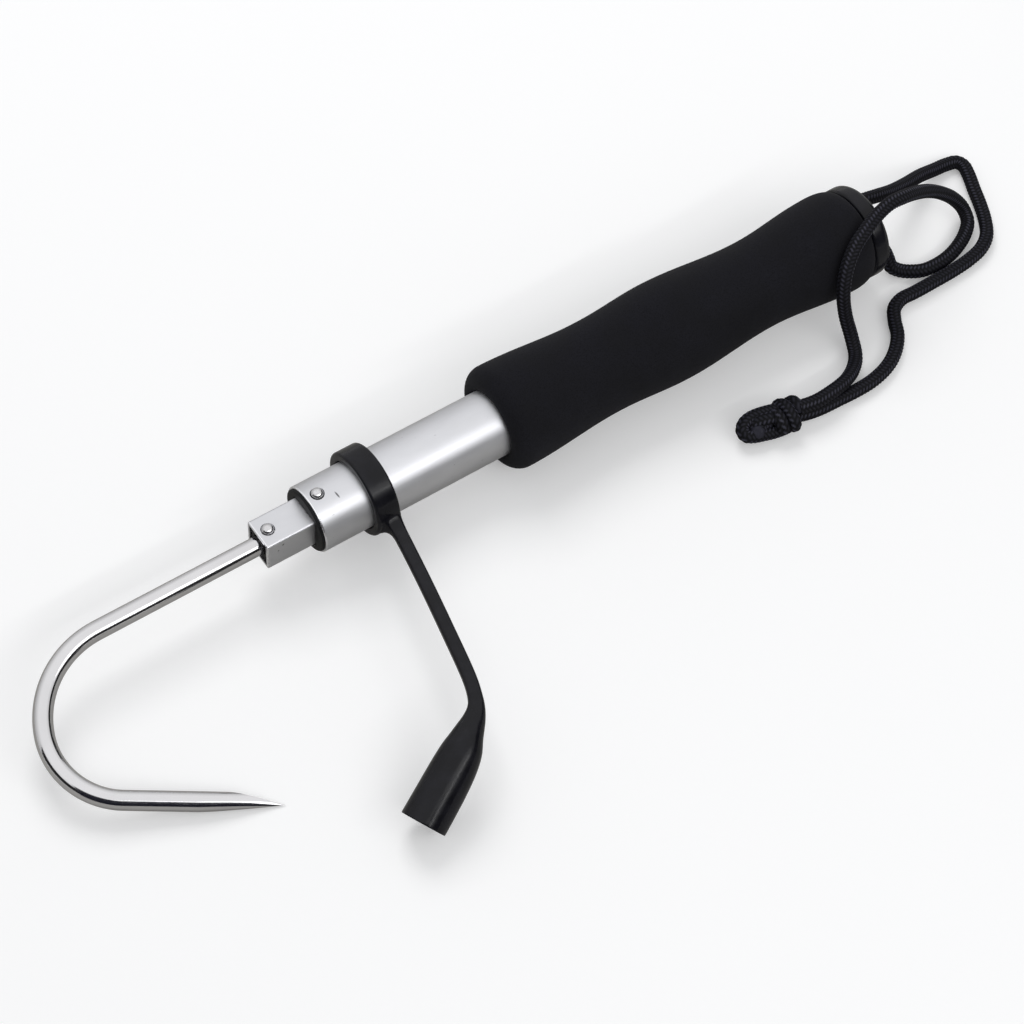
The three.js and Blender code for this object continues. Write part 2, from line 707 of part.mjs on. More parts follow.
function tipGuard() {
  const root = new THREE.Vector3(ringCentre, (ringInnerRadius + ringOuterRadius) / 2, 0);
  const stations = guardPathShares.map((shares) => (
    new THREE.Vector3(...shares).multiplyScalar(guardReach).add(root)
  ));
  const route = new THREE.CatmullRomCurve3(stations, false, 'centripetal');
  const mouth = 2 * guardMouthRadius;
  const sections = Array.from({ length: guardSteps + 1 }, (_, i) => {
    const t = i / guardSteps;
    return {
      centre: route.getPoint(t),
      width: lerp(strapWidth, mouth, guardSwell(t)),
      height: lerp(strapThickness, mouth, guardSwell(t)),
    };
  });
  const mouthAxis = new THREE.Vector3().subVectors(stations.at(-1), stations.at(-3)).normalize();
  sections.push({
    centre: stations.at(-1).clone().addScaledVector(mouthAxis, guardLip),
    width: mouth - guardLip,
    height: mouth - guardLip,
  });
  const half = ringWidth / 2;
  const collar = revolve([
    [ringInnerRadius, ringCentre - half],
    [ringOuterRadius - ringRound, ringCentre - half],
    [ringOuterRadius, ringCentre - half + ringRound],
    [ringOuterRadius, ringCentre + half - ringRound],
    [ringOuterRadius - ringRound, ringCentre + half],
    [ringInnerRadius, ringCentre + half],
  ], roundSides);
  const poleBore = rod(ringInnerRadius, tubeRear, tubeFront, roundSides);
  const bore = revolve([
    [0, -guardBoreDepth],
    [guardBoreEnd / 2, -guardBoreDepth],
    [guardBoreEnd, guardBoreEnd / 2 - guardBoreDepth],
    [guardMouthRadius - guardMouthWall, 0],
    [guardMouthRadius - guardMouthWall, cutOverrun],
    [0, cutOverrun],
  ], smallSides);
  const pitch = degrees(Math.asin(-mouthAxis.z));
  const heading = degrees(Math.atan2(mouthAxis.y, mouthAxis.x));
  const capBore = bore.rotate([0, pitch, heading]).translate(stations.at(-1).toArray());
  return loft(sections, guardSides).subtract(poleBore).add(collar).subtract(capBore);
}

// Pieces
addPiece('outer_tube', outerTube(), aluminium);
addPiece('front_bushing', frontBushing(), blackPlastic);
addPiece('square_tube', squareTube(), aluminium);
addPiece('pole_button', snapButton(poleButtonX, poleButtonTop, 0), stainless);
addPiece('pole_button_spring', poleLeaf(poleButtonX, -1, 0), springSteel);
addPiece('rear_guide', rearGuide(), blackPlastic);
addPiece(
  'rear_guide_pin', crossRod(guidePinRadius, squareSide - 2 * fitGap, guidePinX, 0), stainless,
);
addPiece(
  'extended_button', snapButton(extendedButtonX, extendedButtonTop, extendedButtonSink), stainless,
);
addPiece('extended_button_spring', poleLeaf(extendedButtonX, 1, extendedButtonSink), springSteel);
addPiece('hook', hook(), stainless);
addPiece('hook_plug', hookPlug(), blackPlastic);
addPiece(
  'hook_cross_pin', crossRod(crossPinRadius, 2 * plugHalf, crossPinX, -crossPinDrop), stainless,
);
addPiece('hook_button', hookButton(), stainless);
addPiece('hook_button_spring', hookLeaf(), springSteel);
addPiece('foam_grip', foamGrip(), blackFoam);
addPiece('end_cap', endCap(), blackRubber);
addPiece('tip_guard', tipGuard(), blackRubber);
addPiece('lanyard_strand_a', strand(1, strandRouteA), blackCord);
addPiece('lanyard_strand_b', strand(-1, strandRouteB), blackCord);
addPiece('lanyard_bridge', lanyardTurn(), blackCord);
addPiece('lanyard_knot', lanyardKnot(), blackCord);

export default gaff;
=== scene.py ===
"""Telescopic fishing gaff, dressed around its packed solids.

Metres. The origin is the centre of the end cap's rear face, +X runs along the pole to the hook,
+Z is the side that the snap buttons face, and the hook lies towards +Y.
"""

import json
from math import asin, atan2, cos, pi, radians, sin

import bmesh
import bpy
import numpy as np
from bpy.props import FloatProperty, FloatVectorProperty, IntProperty, PointerProperty
from bpy.types import Operator, Panel, PropertyGroup
from mathutils import Euler, Matrix, Vector

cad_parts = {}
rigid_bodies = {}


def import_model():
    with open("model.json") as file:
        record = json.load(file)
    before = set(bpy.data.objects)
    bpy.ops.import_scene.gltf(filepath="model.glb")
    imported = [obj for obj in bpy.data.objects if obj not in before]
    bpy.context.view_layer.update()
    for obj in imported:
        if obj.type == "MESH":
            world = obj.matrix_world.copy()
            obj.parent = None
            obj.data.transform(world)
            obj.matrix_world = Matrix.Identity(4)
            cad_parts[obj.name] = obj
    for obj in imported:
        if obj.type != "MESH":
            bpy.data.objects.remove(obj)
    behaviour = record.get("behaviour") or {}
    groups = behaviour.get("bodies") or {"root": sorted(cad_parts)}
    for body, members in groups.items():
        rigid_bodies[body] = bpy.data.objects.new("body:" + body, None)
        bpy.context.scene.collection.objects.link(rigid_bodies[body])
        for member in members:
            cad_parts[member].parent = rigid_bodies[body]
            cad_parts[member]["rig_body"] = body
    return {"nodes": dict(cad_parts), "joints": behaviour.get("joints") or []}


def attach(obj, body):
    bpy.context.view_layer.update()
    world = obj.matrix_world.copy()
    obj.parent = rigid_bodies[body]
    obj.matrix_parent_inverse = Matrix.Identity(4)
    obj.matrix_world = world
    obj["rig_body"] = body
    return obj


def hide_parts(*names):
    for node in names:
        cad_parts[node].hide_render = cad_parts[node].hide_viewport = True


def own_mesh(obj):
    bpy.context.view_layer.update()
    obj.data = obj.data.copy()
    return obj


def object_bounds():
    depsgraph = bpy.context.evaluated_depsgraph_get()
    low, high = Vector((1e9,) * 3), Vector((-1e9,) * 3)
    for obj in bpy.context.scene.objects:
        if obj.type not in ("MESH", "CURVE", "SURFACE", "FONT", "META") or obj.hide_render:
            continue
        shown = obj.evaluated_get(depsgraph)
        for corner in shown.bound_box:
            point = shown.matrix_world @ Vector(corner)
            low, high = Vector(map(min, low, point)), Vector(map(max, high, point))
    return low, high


bl_info = {
    "name": "Telescopic Fishing Gaff",
    "version": (1, 0, 0),
    "blender": (4, 5, 0),
    "location": "View3D > Sidebar > Gaff",
    "description": "Builds a telescopic fishing gaff with its hook, tip guard and lanyard",
    "category": "Add Mesh",
}

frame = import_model()
cad_low, cad_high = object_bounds()

MM = 0.001
X_AXIS = np.array([1.0, 0.0, 0.0])
Z_AXIS = np.array([0.0, 0.0, 1.0])

# Lanyard routes, from the end cap's holes to the knot (millimetres)
STRAND_A = [
    (-4.2, -5.7, 5.6), (-10.4, -6, 3.6), (-18.8, -7.6, -0.8), (-27.9, -10.3, -5.6),
    (-37.9, -13.3, -10.2), (-46.3, -15, -13.9), (-52.8, -15.3, -15.2), (-56.2, -14.3, -15.2),
    (-57.3, -11.8, -15.2), (-56.2, -7.7, -15.2), (-53.5, -1.5, -15.2), (-50.8, 5, -15.2),
    (-47.5, 11.6, -15.2), (-43.7, 16.7, -15.2), (-38.5, 19.9, -15.2), (-31.9, 21.5, -15.2),
    (-24.4, 22.2, -15.2), (-15.9, 22.4, -15.2), (-7.8, 22.5, -15.2), (-1.9, 22.4, -15.2),
    (2.5, 24.3, -15.2), (5.8, 28.6, -15.2), (8.5, 33.4, -15.2), (13, 37.9, -15.2),
    (18.9, 41.4, -15.2), (26.6, 43.5, -15.2), (34.1, 43.9, -15.2), (41.3, 43.6, -15.2),
    (48, 43.3, -15.2), (52.6, 42.6, -15.2), (57, 41.5, -15),
]
STRAND_B = [
    (-3, 5.7, -5.8), (-5.5, 6.9, -8), (-6.5, 8.6, -11), (-7, 10.5, -13.7), (-9.4, 12.7, -15.1),
    (-12.4, 15, -15.2), (-16.1, 16.7, -15.2), (-21.1, 17.2, -15.2), (-26.7, 16.7, -15.2),
    (-32.3, 15, -15.2), (-38, 12.1, -15.2), (-42.1, 8.5, -14.6), (-42.5, 4.9, -12),
    (-38.7, 3.1, -6.5), (-31.8, 2.8, 0.5), (-23.5, 3.7, 7.5), (-14.6, 5.6, 13.6),
    (-7.7, 7.1, 17.2), (-2.3, 7.7, 18.4), (3.2, 8.8, 18), (10.2, 11.3, 17), (16.5, 13.8, 14.6),
    (21.7, 17.1, 9.9), (24.2, 20.3, 3), (24.1, 23.2, -5.2), (23.8, 27.5, -12),
    (25.6, 32.6, -14.9), (30.2, 37, -13.9), (37, 40.8, -11.5), (44.7, 42.5, -10.3),
    (50.7, 42.8, -10.2), (57.1, 41.8, -10.2),
]
KNOT_START = (54.1, 42.2, -12.1)
KNOT_HEADING = radians(-13.5)
# The knot's bight and its two tails, given along X before the knot is placed
KNOT_BIGHT = [
    (8, -1.4, 1), (12, -1.7, 1.3), (16, -1.7, 1.3), (19.3, -1.3, 1), (21.7, -0.1, 0.4),
    (22.6, 1.5, -0.4), (21.9, 3, -1.2), (19.6, 3.6, -1.7), (16, 3.8, -2), (12, 3.9, -2.1),
    (8, 3.6, -1.8), (5, 2.6, -1),
]
KNOT_TAILS = [
    [(8, 1, 1.4), (12, 1.2, 1.7), (15.5, 0.8, 1.4), (18.4, 0.4, 0.2), (19.6, 0.6, -1.6)],
    [(13, 1.2, 0.2), (16, 1.8, -0.3), (18, 3.2, -0.6), (18.9, 4.2, 1)],
]

# Tip guard: its centreline from the ring's wall, and its swell from strap (0) to cap (1),
# as shares of its reach
GUARD_PATH = [
    (-0.008, 0, -0.022), (-0.008, 0.024, -0.021), (-0.003, 0.06, -0.018), (0.018, 0.169, -0.012),
    (0.045, 0.303, -0.006), (0.079, 0.454, 0.001), (0.112, 0.602, 0.008), (0.131, 0.654, 0.011),
    (0.146, 0.686, 0.012), (0.163, 0.709, 0.012), (0.186, 0.73, 0.01), (0.211, 0.748, 0.008),
    (0.232, 0.763, 0.004), (0.258, 0.782, -0.006), (0.308, 0.809, -0.033), (0.374, 0.84, -0.069),
    (0.449, 0.874, -0.106),
]
GUARD_SWELL = [
    0.1, 0.04, 0.01, 0, 0, 0, 0, 0, 0.05, 0.15, 0.29, 0.44, 0.58, 0.8, 0.93, 0.98, 1,
]
# Small dark marks on the poles: middle and half sizes in millimetres, turn in degrees
SCRATCHES = [
    ((205.7, 3.3, 10.5), (0.35, 1.5, 0.9), (-17, 0, 10)),
    ((226.3, 5.75, 3.4), (0.55, 0.6, 0.4), (0, 40, 0)),
    ((228.0, 5.75, 1.5), (0.35, 0.6, 0.35), (0, 0, 0)),
]
# Grip: where its radii are met, as shares of its length from the rear end
GRIP_STATIONS = [0.045, 0.27, 0.52, 0.71, 0.962]
# Snap buttons: how far they stand behind the front end of the pole that they lock
POLE_BUTTON_INSET, HOOK_BUTTON_INSET = 3.8 * MM, 3.6 * MM
# Radius at which a turned piece closes on its axis
AXIS_RADIUS = 0.05 * MM
# Steps round each corner of the square pole and its bore
CORNER_STEPS = 8
# Values kept at a cord's points for its material: height, lay, and share of fused yarn. Height and
# lay also place the painted pit shade and the painted glints.
BRAID_LOOKS = ("braid", "lay", "fused")


# Sizes and colours

def metres(name, description, default, precision=4):
    """A size"""
    return FloatProperty(
        name=name, description=description, default=default, unit="LENGTH",
        precision=precision)


def degrees(name, description, default):
    """An angle"""
    return FloatProperty(
        name=name, description=description, default=radians(default), unit="ROTATION")


def tint(name, description, default):
    """The colour of a finish"""
    return FloatVectorProperty(
        name=name, description=description, default=default, min=0, max=1, subtype="COLOR")


class GaffPole(PropertyGroup):
    """Sizes of the two poles, the bushing between them and the snap buttons"""

    tube_radius: metres("Tube radius", "Outside radius of the round outer pole", 0.011)
    tube_wall: metres("Tube wall", "Wall of the round outer pole", 0.0011)
    tube_rear: metres("Tube rear", "Rear end of the outer pole, from the cap's rear face", 0.011)
    tube_front: metres(
        "Tube front", "Front end of the outer pole, from the cap's rear face", 0.2145)
    square_side: metres("Inner pole side", "Outside width of the square inner pole", 0.0115)
    square_wall: metres("Inner pole wall", "Wall of the square inner pole", 0.001)
    square_corner: metres("Inner pole corner", "Corner radius of the square inner pole", 0.0009)
    square_rear: metres("Inner pole rear", "Rear end of the inner pole when closed", 0.0288)
    square_front: metres("Inner pole front", "Front end of the inner pole when closed", 0.2317)
    bushing_length: metres("Bushing length", "Length of the bushing inside the outer pole", 0.0123)
    bushing_flange: metres("Bushing flange", "Thickness of the bushing's flange", 0.0007)
    flange_inset: metres("Flange inset", "Flange edge below the outer pole's surface", 0.0006)
    fit_gap: metres("Fit", "Play between pieces that touch", 0.0003)
    button_radius: metres("Button radius", "Radius of the snap buttons", 0.00195, precision=5)
    button_proud: metres("Button height", "How far a button stands out of its pole", 0.0015)
    pole_travel: metres("Pole travel", "How far the inner pole slides out", 0.1734)


class GaffGrip(PropertyGroup):
    """Sizes of the foam grip and the end cap"""

    length: metres("Grip length", "Length of the foam grip", 0.1413)
    rear_radius: metres("Rear radius", "Radius of the grip at the end cap", 0.0171)
    rear_waist: metres("Rear waist", "Radius of the grip's rear waist", 0.0148)
    swell: metres("Palm swell", "Radius of the grip's swell", 0.0169)
    front_waist: metres("Front waist", "Radius of the grip's front waist", 0.0156)
    front_radius: metres("Front radius", "Radius of the grip at its front end", 0.0175)
    rear_round: metres("Rear rounding", "Edge rounding at the grip's rear end", 0.002)
    front_round: metres("Front rounding", "Edge rounding at the grip's front end", 0.0052)
    cap_radius: metres("Cap radius", "Radius of the end cap's disc", 0.0159)
    cap_thickness: metres("Cap thickness", "Thickness of the end cap's disc", 0.0065)
    cap_round: metres("Cap rim", "Rounding of the end cap's rear rim", 0.0026)


class GaffHook(PropertyGroup):
    """Sizes of the hook"""

    wire_radius: metres("Wire radius", "Radius of the hook's wire", 0.003)
    shank_start: metres("Shank start", "Rear end of the shank, from the cap's rear face", 0.2184)
    shank_length: metres("Shank length", "Straight part of the shank", 0.0681)
    bend_radius: metres("Bend radius", "Radius of the first part of the bend", 0.0307)
    bend_angle: degrees("Bend angle", "Angle of the first part of the bend", 71.8)
    throat_radius: metres("Throat radius", "Radius of the second part of the bend", 0.0234)
    point_opening: degrees("Point opening", "Angle between the point and the shank", 31.2)
    point_length: metres("Point length", "Straight length of the point", 0.0461)
    point_taper: metres("Point taper", "Length over which the point tapers", 0.025)
    dip: degrees("Dip", "Angle that the hook's plane dips to the table", 13.6)


class GaffGuard(PropertyGroup):
    """Sizes of the rubber tip guard"""

    reach: metres("Reach", "Scale of the guard's strap and cap", 0.1)
    ring_wall: metres("Ring wall", "Wall of the guard's ring", 0.0028)
    ring_width: metres("Ring width", "Width of the guard's ring", 0.0072)
    ring_centre: metres("Ring place", "Middle of the ring, from the cap's rear face", 0.1933)
    strap_width: metres("Strap width", "Width of the guard's strap", 0.0043)
    strap_thickness: metres("Strap thickness", "Thickness of the guard's strap", 0.0034)
    mouth_radius: metres("Cap radius", "Outside radius of the cap's mouth", 0.0071)
    mouth_wall: metres("Cap wall", "Wall of the cap at its mouth", 0.0012)
    bore_depth: metres("Cap bore", "Depth of the cap's bore", 0.022)


class GaffCord(PropertyGroup):
    """Sizes of the braided lanyard"""

    radius: metres("Cord radius", "Mean radius of the braided cord", 0.00225, precision=5)
    lace_radius: metres("Hole spacing", "Half the distance between the cord holes", 0.008)
    lace_angle: degrees("Hole angle", "Angle of the first cord hole from +Y", 135)
    yarns: IntProperty(
        name="Yarns", description="Yarns of the braid that wind each way, an even number",
        default=8, min=4, max=16)
    pitch: metres("Yarn pitch", "Distance between crossings along the cord", 0.0013, precision=5)
    relief: metres("Braid relief", "Height of the yarns", 0.00042, precision=5)


class GaffFinish(PropertyGroup):
    """Colours of the finishes"""

    aluminium: tint("Aluminium", "Colour of the two poles", (0.735, 0.74, 0.77))
    stainless: tint("Stainless steel", "Colour of the hook and the buttons", (0.72, 0.715, 0.73))
    spring: tint("Spring steel", "Colour of the leaf springs", (0.36, 0.37, 0.39))
    plastic: tint(
        "Plastic", "Colour of the bushing, the guide and the hook plug", (0.006, 0.006, 0.007))
    rubber: tint("Rubber", "Colour of the tip guard and the end cap", (0.0065, 0.0065, 0.0088))
    foam: tint("Foam", "Colour of the grip", (0.0078, 0.0078, 0.0105))
    cord: tint("Cord", "Colour of the lanyard's yarns", (0.006, 0.006, 0.0085))
    floor: tint("Floor", "Colour of the floor", (0.82, 0.82, 0.82))


# Lines and rings

def unit(vectors):
    """The vectors at a length of 1"""
    vectors = np.asarray(vectors, float)
    return vectors / np.linalg.norm(vectors, axis=-1, keepdims=True)


def quarter(steps):
    """Quarter turn in equal steps, as cosine and sine"""
    turn = np.linspace(0, pi / 2, steps + 1)
    return list(zip(np.cos(turn), np.sin(turn)))


def spline(points, steps):
    """Centripetal Catmull-Rom line through the points, with steps to each span"""
    points = np.asarray(points, float)
    ends = [2 * points[0] - points[1], *points, 2 * points[-1] - points[-2]]
    line = []
    for a, b, c, d in zip(ends, ends[1:], ends[2:], ends[3:]):
        gaps = [np.linalg.norm(q - p) ** 0.5 for p, q in ((a, b), (b, c), (c, d))]
        leave = ((b - a) / gaps[0] - (c - a) / (gaps[0] + gaps[1]) + (c - b) / gaps[1]) * gaps[1]
        reach = ((c - b) / gaps[1] - (d - b) / (gaps[1] + gaps[2]) + (d - c) / gaps[2]) * gaps[1]
        for t in np.arange(steps) / steps:
            line.append(
                b + leave * t + (3 * (c - b) - 2 * leave - reach) * t**2
                + (2 * (b - c) + leave + reach) * t**3)
    return np.array([*line, points[-1]])


def lengths_along(line):
    """Distance of each of a line's points from its start"""
    return np.concatenate([[0], np.cumsum(np.linalg.norm(np.diff(line, axis=0), axis=1))])


def spaced(line, places):
    """The line's points at these distances along it"""
    along = lengths_along(line)
    return np.stack([np.interp(places, along, line[:, k]) for k in range(3)], axis=1)


def crosswise(line):
    """Two directions across a line at each of its points, carried along without twist"""
    tangents = unit(np.gradient(line, axis=0))
    first = unit(np.cross(tangents[0], Z_AXIS if abs(tangents[0][2]) < 0.9 else X_AXIS))
    sides = [first]
    for tangent in tangents[1:]:
        sides.append(unit(sides[-1] - tangent * (sides[-1] @ tangent)))
    sides = np.array(sides)
    return sides, np.cross(tangents, sides)


def tube_rings(line, radii, sides, relief=None):
    """Rings round a line. Relief has a height for each point of each ring."""
    across, up = crosswise(line)
    turn = np.linspace(0, 2 * pi, sides, endpoint=False)
    reach = np.asarray(radii, float)[:, None] + (0 if relief is None else relief)
    return (
        line[:, None]
        + (reach * np.cos(turn))[..., None] * across[:, None]
        + (reach * np.sin(turn))[..., None] * up[:, None])


def revolved(profile, sides):
    """Rings round the pole's axis from a profile of places and radii"""
    turn = np.linspace(0, 2 * pi, sides, endpoint=False)
    return np.array([
        np.stack([np.full(sides, x), r * np.cos(turn), r * np.sin(turn)], axis=1)
        for x, r in profile])


def rear_edge(x, radius, rounding, steps, long=None):
    """Profile of a rounded edge at a turned piece's rear end, a quarter of an oval where it is
    given a length of its own"""
    long = rounding if long is None else long
    return [(x + long * (1 - c), radius - rounding * (1 - s)) for c, s in quarter(steps)]


def front_edge(x, radius, rounding, steps, long=None):
    """Profile of a rounded edge at a turned piece's front end"""
    long = rounding if long is None else long
    return [(x - long * (1 - s), radius - rounding * (1 - c)) for c, s in quarter(steps)]


def square_ring(x, side, corner, flat_steps):
    """Ring of a square with rounded corners, across the pole"""
    inner, points = side / 2 - corner, []
    for quadrant in range(4):
        start = quadrant * pi / 2
        middle = np.array([cos(start) - sin(start), sin(start) + cos(start)]) * inner
        for k in range(CORNER_STEPS + 1):
            angle = start + k / CORNER_STEPS * pi / 2
            points.append(middle + corner * np.array([cos(angle), sin(angle)]))
        after = start + pi / 2
        following = np.array([cos(after) - sin(after), sin(after) + cos(after)]) * inner
        leave = points[-1]
        arrive = following + corner * np.array([cos(after), sin(after)])
        points += [leave + (arrive - leave) * k / flat_steps for k in range(1, flat_steps)]
    points = np.array(points)
    return np.column_stack([np.full(len(points), x), points])


# Meshes

def skin(rings, looped=False):
    """Points and faces over rings, joined end to end or closed by a face at both ends"""
    rings = np.asarray(rings, float)
    count, sides = rings.shape[:2]
    index = np.arange(count * sides).reshape(count, sides)
    ahead = np.roll(index, -1, axis=0) if looped else index[1:]
    behind = index if looped else index[:-1]
    faces = np.stack([
        behind, np.roll(behind, -1, axis=1), np.roll(ahead, -1, axis=1), ahead,
    ], axis=-1).reshape(-1, 4).tolist()
    if not looped:
        faces += [index[0][::-1].tolist(), index[-1].tolist()]
    return rings.reshape(-1, 3), faces


def new_piece(name, *shells):
    """A mesh object from closed shells of points and faces, with its faces turned outward"""
    points, faces = [], []
    for shell_points, shell_faces in shells:
        first = len(points)
        points += shell_points.tolist()
        faces += [[first + i for i in face] for face in shell_faces]
    mesh = bpy.data.meshes.new(name)
    mesh.from_pydata(points, [], faces)
    work = bmesh.new()
    work.from_mesh(mesh)
    bmesh.ops.recalc_face_normals(work, faces=work.faces)
    work.to_mesh(mesh)
    work.free()
    piece = bpy.data.objects.new(name, mesh)
    bpy.context.scene.collection.objects.link(piece)
    return piece


def combine(piece, other, operation):
    """Joins, cuts or trims a piece with another, which is then removed"""
    step = piece.modifiers.new("combine", "BOOLEAN")
    step.operation, step.object, step.solver = operation, other, "EXACT"
    bpy.context.view_layer.update()
    shown = piece.evaluated_get(bpy.context.evaluated_depsgraph_get())
    mesh = bpy.data.meshes.new_from_object(shown)
    piece.modifiers.clear()
    old, piece.data = piece.data, mesh
    bpy.data.meshes.remove(old)
    bpy.data.objects.remove(other)
    if len(mesh.polygons) < 4:
        raise RuntimeError(f"{piece.name} came out empty after a {operation.lower()}")
    return piece


def box_cutter(low, high, place=None):
    """A box between two corners, for cutting or as a plain prop"""
    low, high = np.array(low, float), np.array(high, float)
    corners = np.array([[x, y, z] for x in (0, 1) for y in (0, 1) for z in (0, 1)])
    faces = [[0, 1, 3, 2], [4, 6, 7, 5], [0, 4, 5, 1], [2, 3, 7, 6], [0, 2, 6, 4], [1, 5, 7, 3]]
    cutter = new_piece("cutter", (low + corners * (high - low), faces))
    if place is not None:
        cutter.data.transform(place)
    return cutter


def cut(piece, cutter):
    """Takes a cutter's form out of a piece"""
    return combine(piece, cutter, "DIFFERENCE")


def bore(piece, radius, start, end, sides=48):
    """Cuts a round hole from one point to another"""
    line = np.array([start, end], float)
    return cut(piece, new_piece("cutter", skin(tube_rings(line, [radius, radius], sides))))


def dress(piece, body, slot, material, *nodes, sharp=32):
    """Gives a piece its body, finish and smooth shading, and lets it stand for CAD nodes"""
    piece.data.materials.clear()
    piece.data.materials.append(material)
    piece.data.shade_smooth()
    piece.data.set_sharp_from_angle(angle=radians(sharp))
    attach(piece, body)
    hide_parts(*nodes)
    return piece


# Materials

class Nodes:
    """Short ways to add nodes to a tree"""

    def __init__(self, tree):
        self.tree = tree
        tree.nodes.clear()
        self.places = self.add("ShaderNodeTexCoord").outputs

    def add(self, kind, **settings):
        made = self.tree.nodes.new(kind)
        for key, value in settings.items():
            setattr(made, key, value)
        return made

    def link(self, source, target):
        self.tree.links.new(source, target)

    def give(self, target, value):
        """Sets a socket to a value, or links it to another socket"""
        if isinstance(value, bpy.types.NodeSocket):
            self.link(value, target)
        else:
            target.default_value = value

    def spread(self, value, low, high, to_low=0.0, to_high=1.0):
        """Maps a value between two limits to another two, and holds it there"""
        node = self.add("ShaderNodeMapRange", clamp=True)
        for key, number in zip(
                ("Value", "From Min", "From Max", "To Min", "To Max"),
                (value, low, high, to_low, to_high)):
            self.give(node.inputs[key], number)
        return node.outputs["Result"]

    def math(self, operation, first, second):
        node = self.add("ShaderNodeMath", operation=operation)
        self.give(node.inputs[0], first)
        self.give(node.inputs[1], second)
        return node.outputs[0]


class Finish(Nodes):
    """A material, with its grains and marks set out on the object's own coordinates"""

    def __init__(self, name):
        self.material = bpy.data.materials.new(name)
        self.material.use_nodes = True
        super().__init__(self.material.node_tree)
        self.shader = self.add("ShaderNodeBsdfPrincipled")
        self.surface = self.add("ShaderNodeOutputMaterial").inputs["Surface"]
        self.link(self.shader.outputs["BSDF"], self.surface)

    def set(self, **values):
        """Sets the shader's own sockets to plain values"""
        for key, value in values.items():
            self.shader.inputs[key.replace("_", " ")].default_value = value

    def pattern(self, texture, kind="POINT", **values):
        """Leads the coordinates into a texture, moved, turned or scaled"""
        mapping = self.add("ShaderNodeMapping", vector_type=kind)
        for key, value in values.items():
            mapping.inputs[key].default_value = value
        self.link(self.places["Object"], mapping.inputs["Vector"])
        self.link(mapping.outputs["Vector"], texture.inputs["Vector"])

    def grain(self, count, detail=4.0, roughness=0.55):
        """Noise, with its cells counted per metre, the same or along each axis"""
        noise = self.add("ShaderNodeTexNoise")
        for key, value in (("Scale", 1), ("Detail", detail), ("Roughness", roughness)):
            noise.inputs[key].default_value = value
        self.pattern(noise, Scale=np.broadcast_to(count, 3))
        return noise.outputs["Fac"]

    def cells(self, count):
        """Distance from the middle of the nearest of many cells, counted per metre"""
        cells = self.add("ShaderNodeTexVoronoi")
        cells.inputs["Scale"].default_value = 1
        self.pattern(cells, Scale=np.broadcast_to(count, 3))
        return cells.outputs["Distance"]

    def spot(self, place, reach, turn):
        """Share of a small oval mark, from its middle, half sizes and turn"""
        ball = self.add("ShaderNodeTexGradient", gradient_type="SPHERICAL")
        self.pattern(
            ball, "TEXTURE", Location=[c * MM for c in place],
            Rotation=[radians(a) for a in turn], Scale=[c * MM for c in reach])
        return self.spread(ball.outputs["Fac"], 0.05, 0.5)

    def attribute(self, name):
        """Value that a piece keeps at its points"""
        return self.add("ShaderNodeAttribute", attribute_name=name).outputs["Fac"]

    def mix(self, share, first, second):
        """Colour between two, each given as a colour or a socket"""
        node = self.add("ShaderNodeMix", data_type="RGBA")
        self.link(share, node.inputs["Factor"])
        for key, colour in ((6, first), (7, second)):
            self.give(node.inputs[key], (*colour, 1) if isinstance(colour, tuple) else colour)
        return node.outputs[2]

    def colour(self, socket):
        self.link(socket, self.shader.inputs["Base Color"])

    def roughness(self, socket):
        self.link(socket, self.shader.inputs["Roughness"])

    def bump(self, height, depth, strength, under=None):
        """Relief in the surface, on top of another relief where one is given"""
        node = self.add("ShaderNodeBump")
        node.inputs["Distance"].default_value = depth
        node.inputs["Strength"].default_value = strength
        self.link(height, node.inputs["Height"])
        if under is not None:
            self.link(under, node.inputs["Normal"])
        self.link(node.outputs["Normal"], self.shader.inputs["Normal"])
        return node.outputs["Normal"]


def shade(colour, factor):
    """The colour, darker or lighter"""
    return tuple(min(1.0, c * factor) for c in colour)


def drawn_aluminium(colour):
    """Satin drawn aluminium, with fine lines along the pole, faint blotches, small nicks and a
    bright-cut rim, whose lighter colour is partly a real finish and partly a painted highlight"""
    n = Finish("drawn_aluminium")
    lines = n.grain((30, 1400, 1400), 5, 0.6)
    blotches = n.grain((60, 140, 140), 3)
    nicks = n.spread(n.grain((700, 1300, 1300), 2, 0.4), 0.73, 0.8)
    base = n.mix(n.spread(blotches, 0.3, 0.7), shade(colour, 0.95), shade(colour, 1.03))
    marks = n.math("MULTIPLY", nicks, 0.3)
    for place, reach, turn in SCRATCHES:
        marks = n.math("MAXIMUM", marks, n.spot(place, reach, turn))
    rim = n.attribute("rim")
    # The rim is painted lighter: partly a bright-cut finish, partly a painted highlight
    n.colour(n.mix(rim, n.mix(marks, base, shade(colour, 0.22)), shade(colour, 1.27)))
    satin = n.spread(n.math("ADD", lines, blotches), 0.6, 1.4, 0.4, 0.5)
    n.roughness(n.math("MULTIPLY", satin, n.spread(rim, 0.0, 1.0, 1.0, 0.6)))
    n.set(Metallic=1.0)
    n.bump(lines, 0.00001, 0.35)
    return n.material


def polished_stainless(colour):
    """Polished wire with faint polishing lines and handling haze"""
    n = Finish("polished_stainless")
    lines, haze = n.grain(900, 4, 0.6), n.grain(45)
    n.colour(n.mix(n.spread(haze, 0.3, 0.7), shade(colour, 0.95), shade(colour, 1.04)))
    n.roughness(n.spread(n.math("ADD", lines, haze), 0.6, 1.4, 0.07, 0.16))
    n.set(Metallic=1.0)
    n.bump(lines, 0.000004, 0.3)
    return n.material


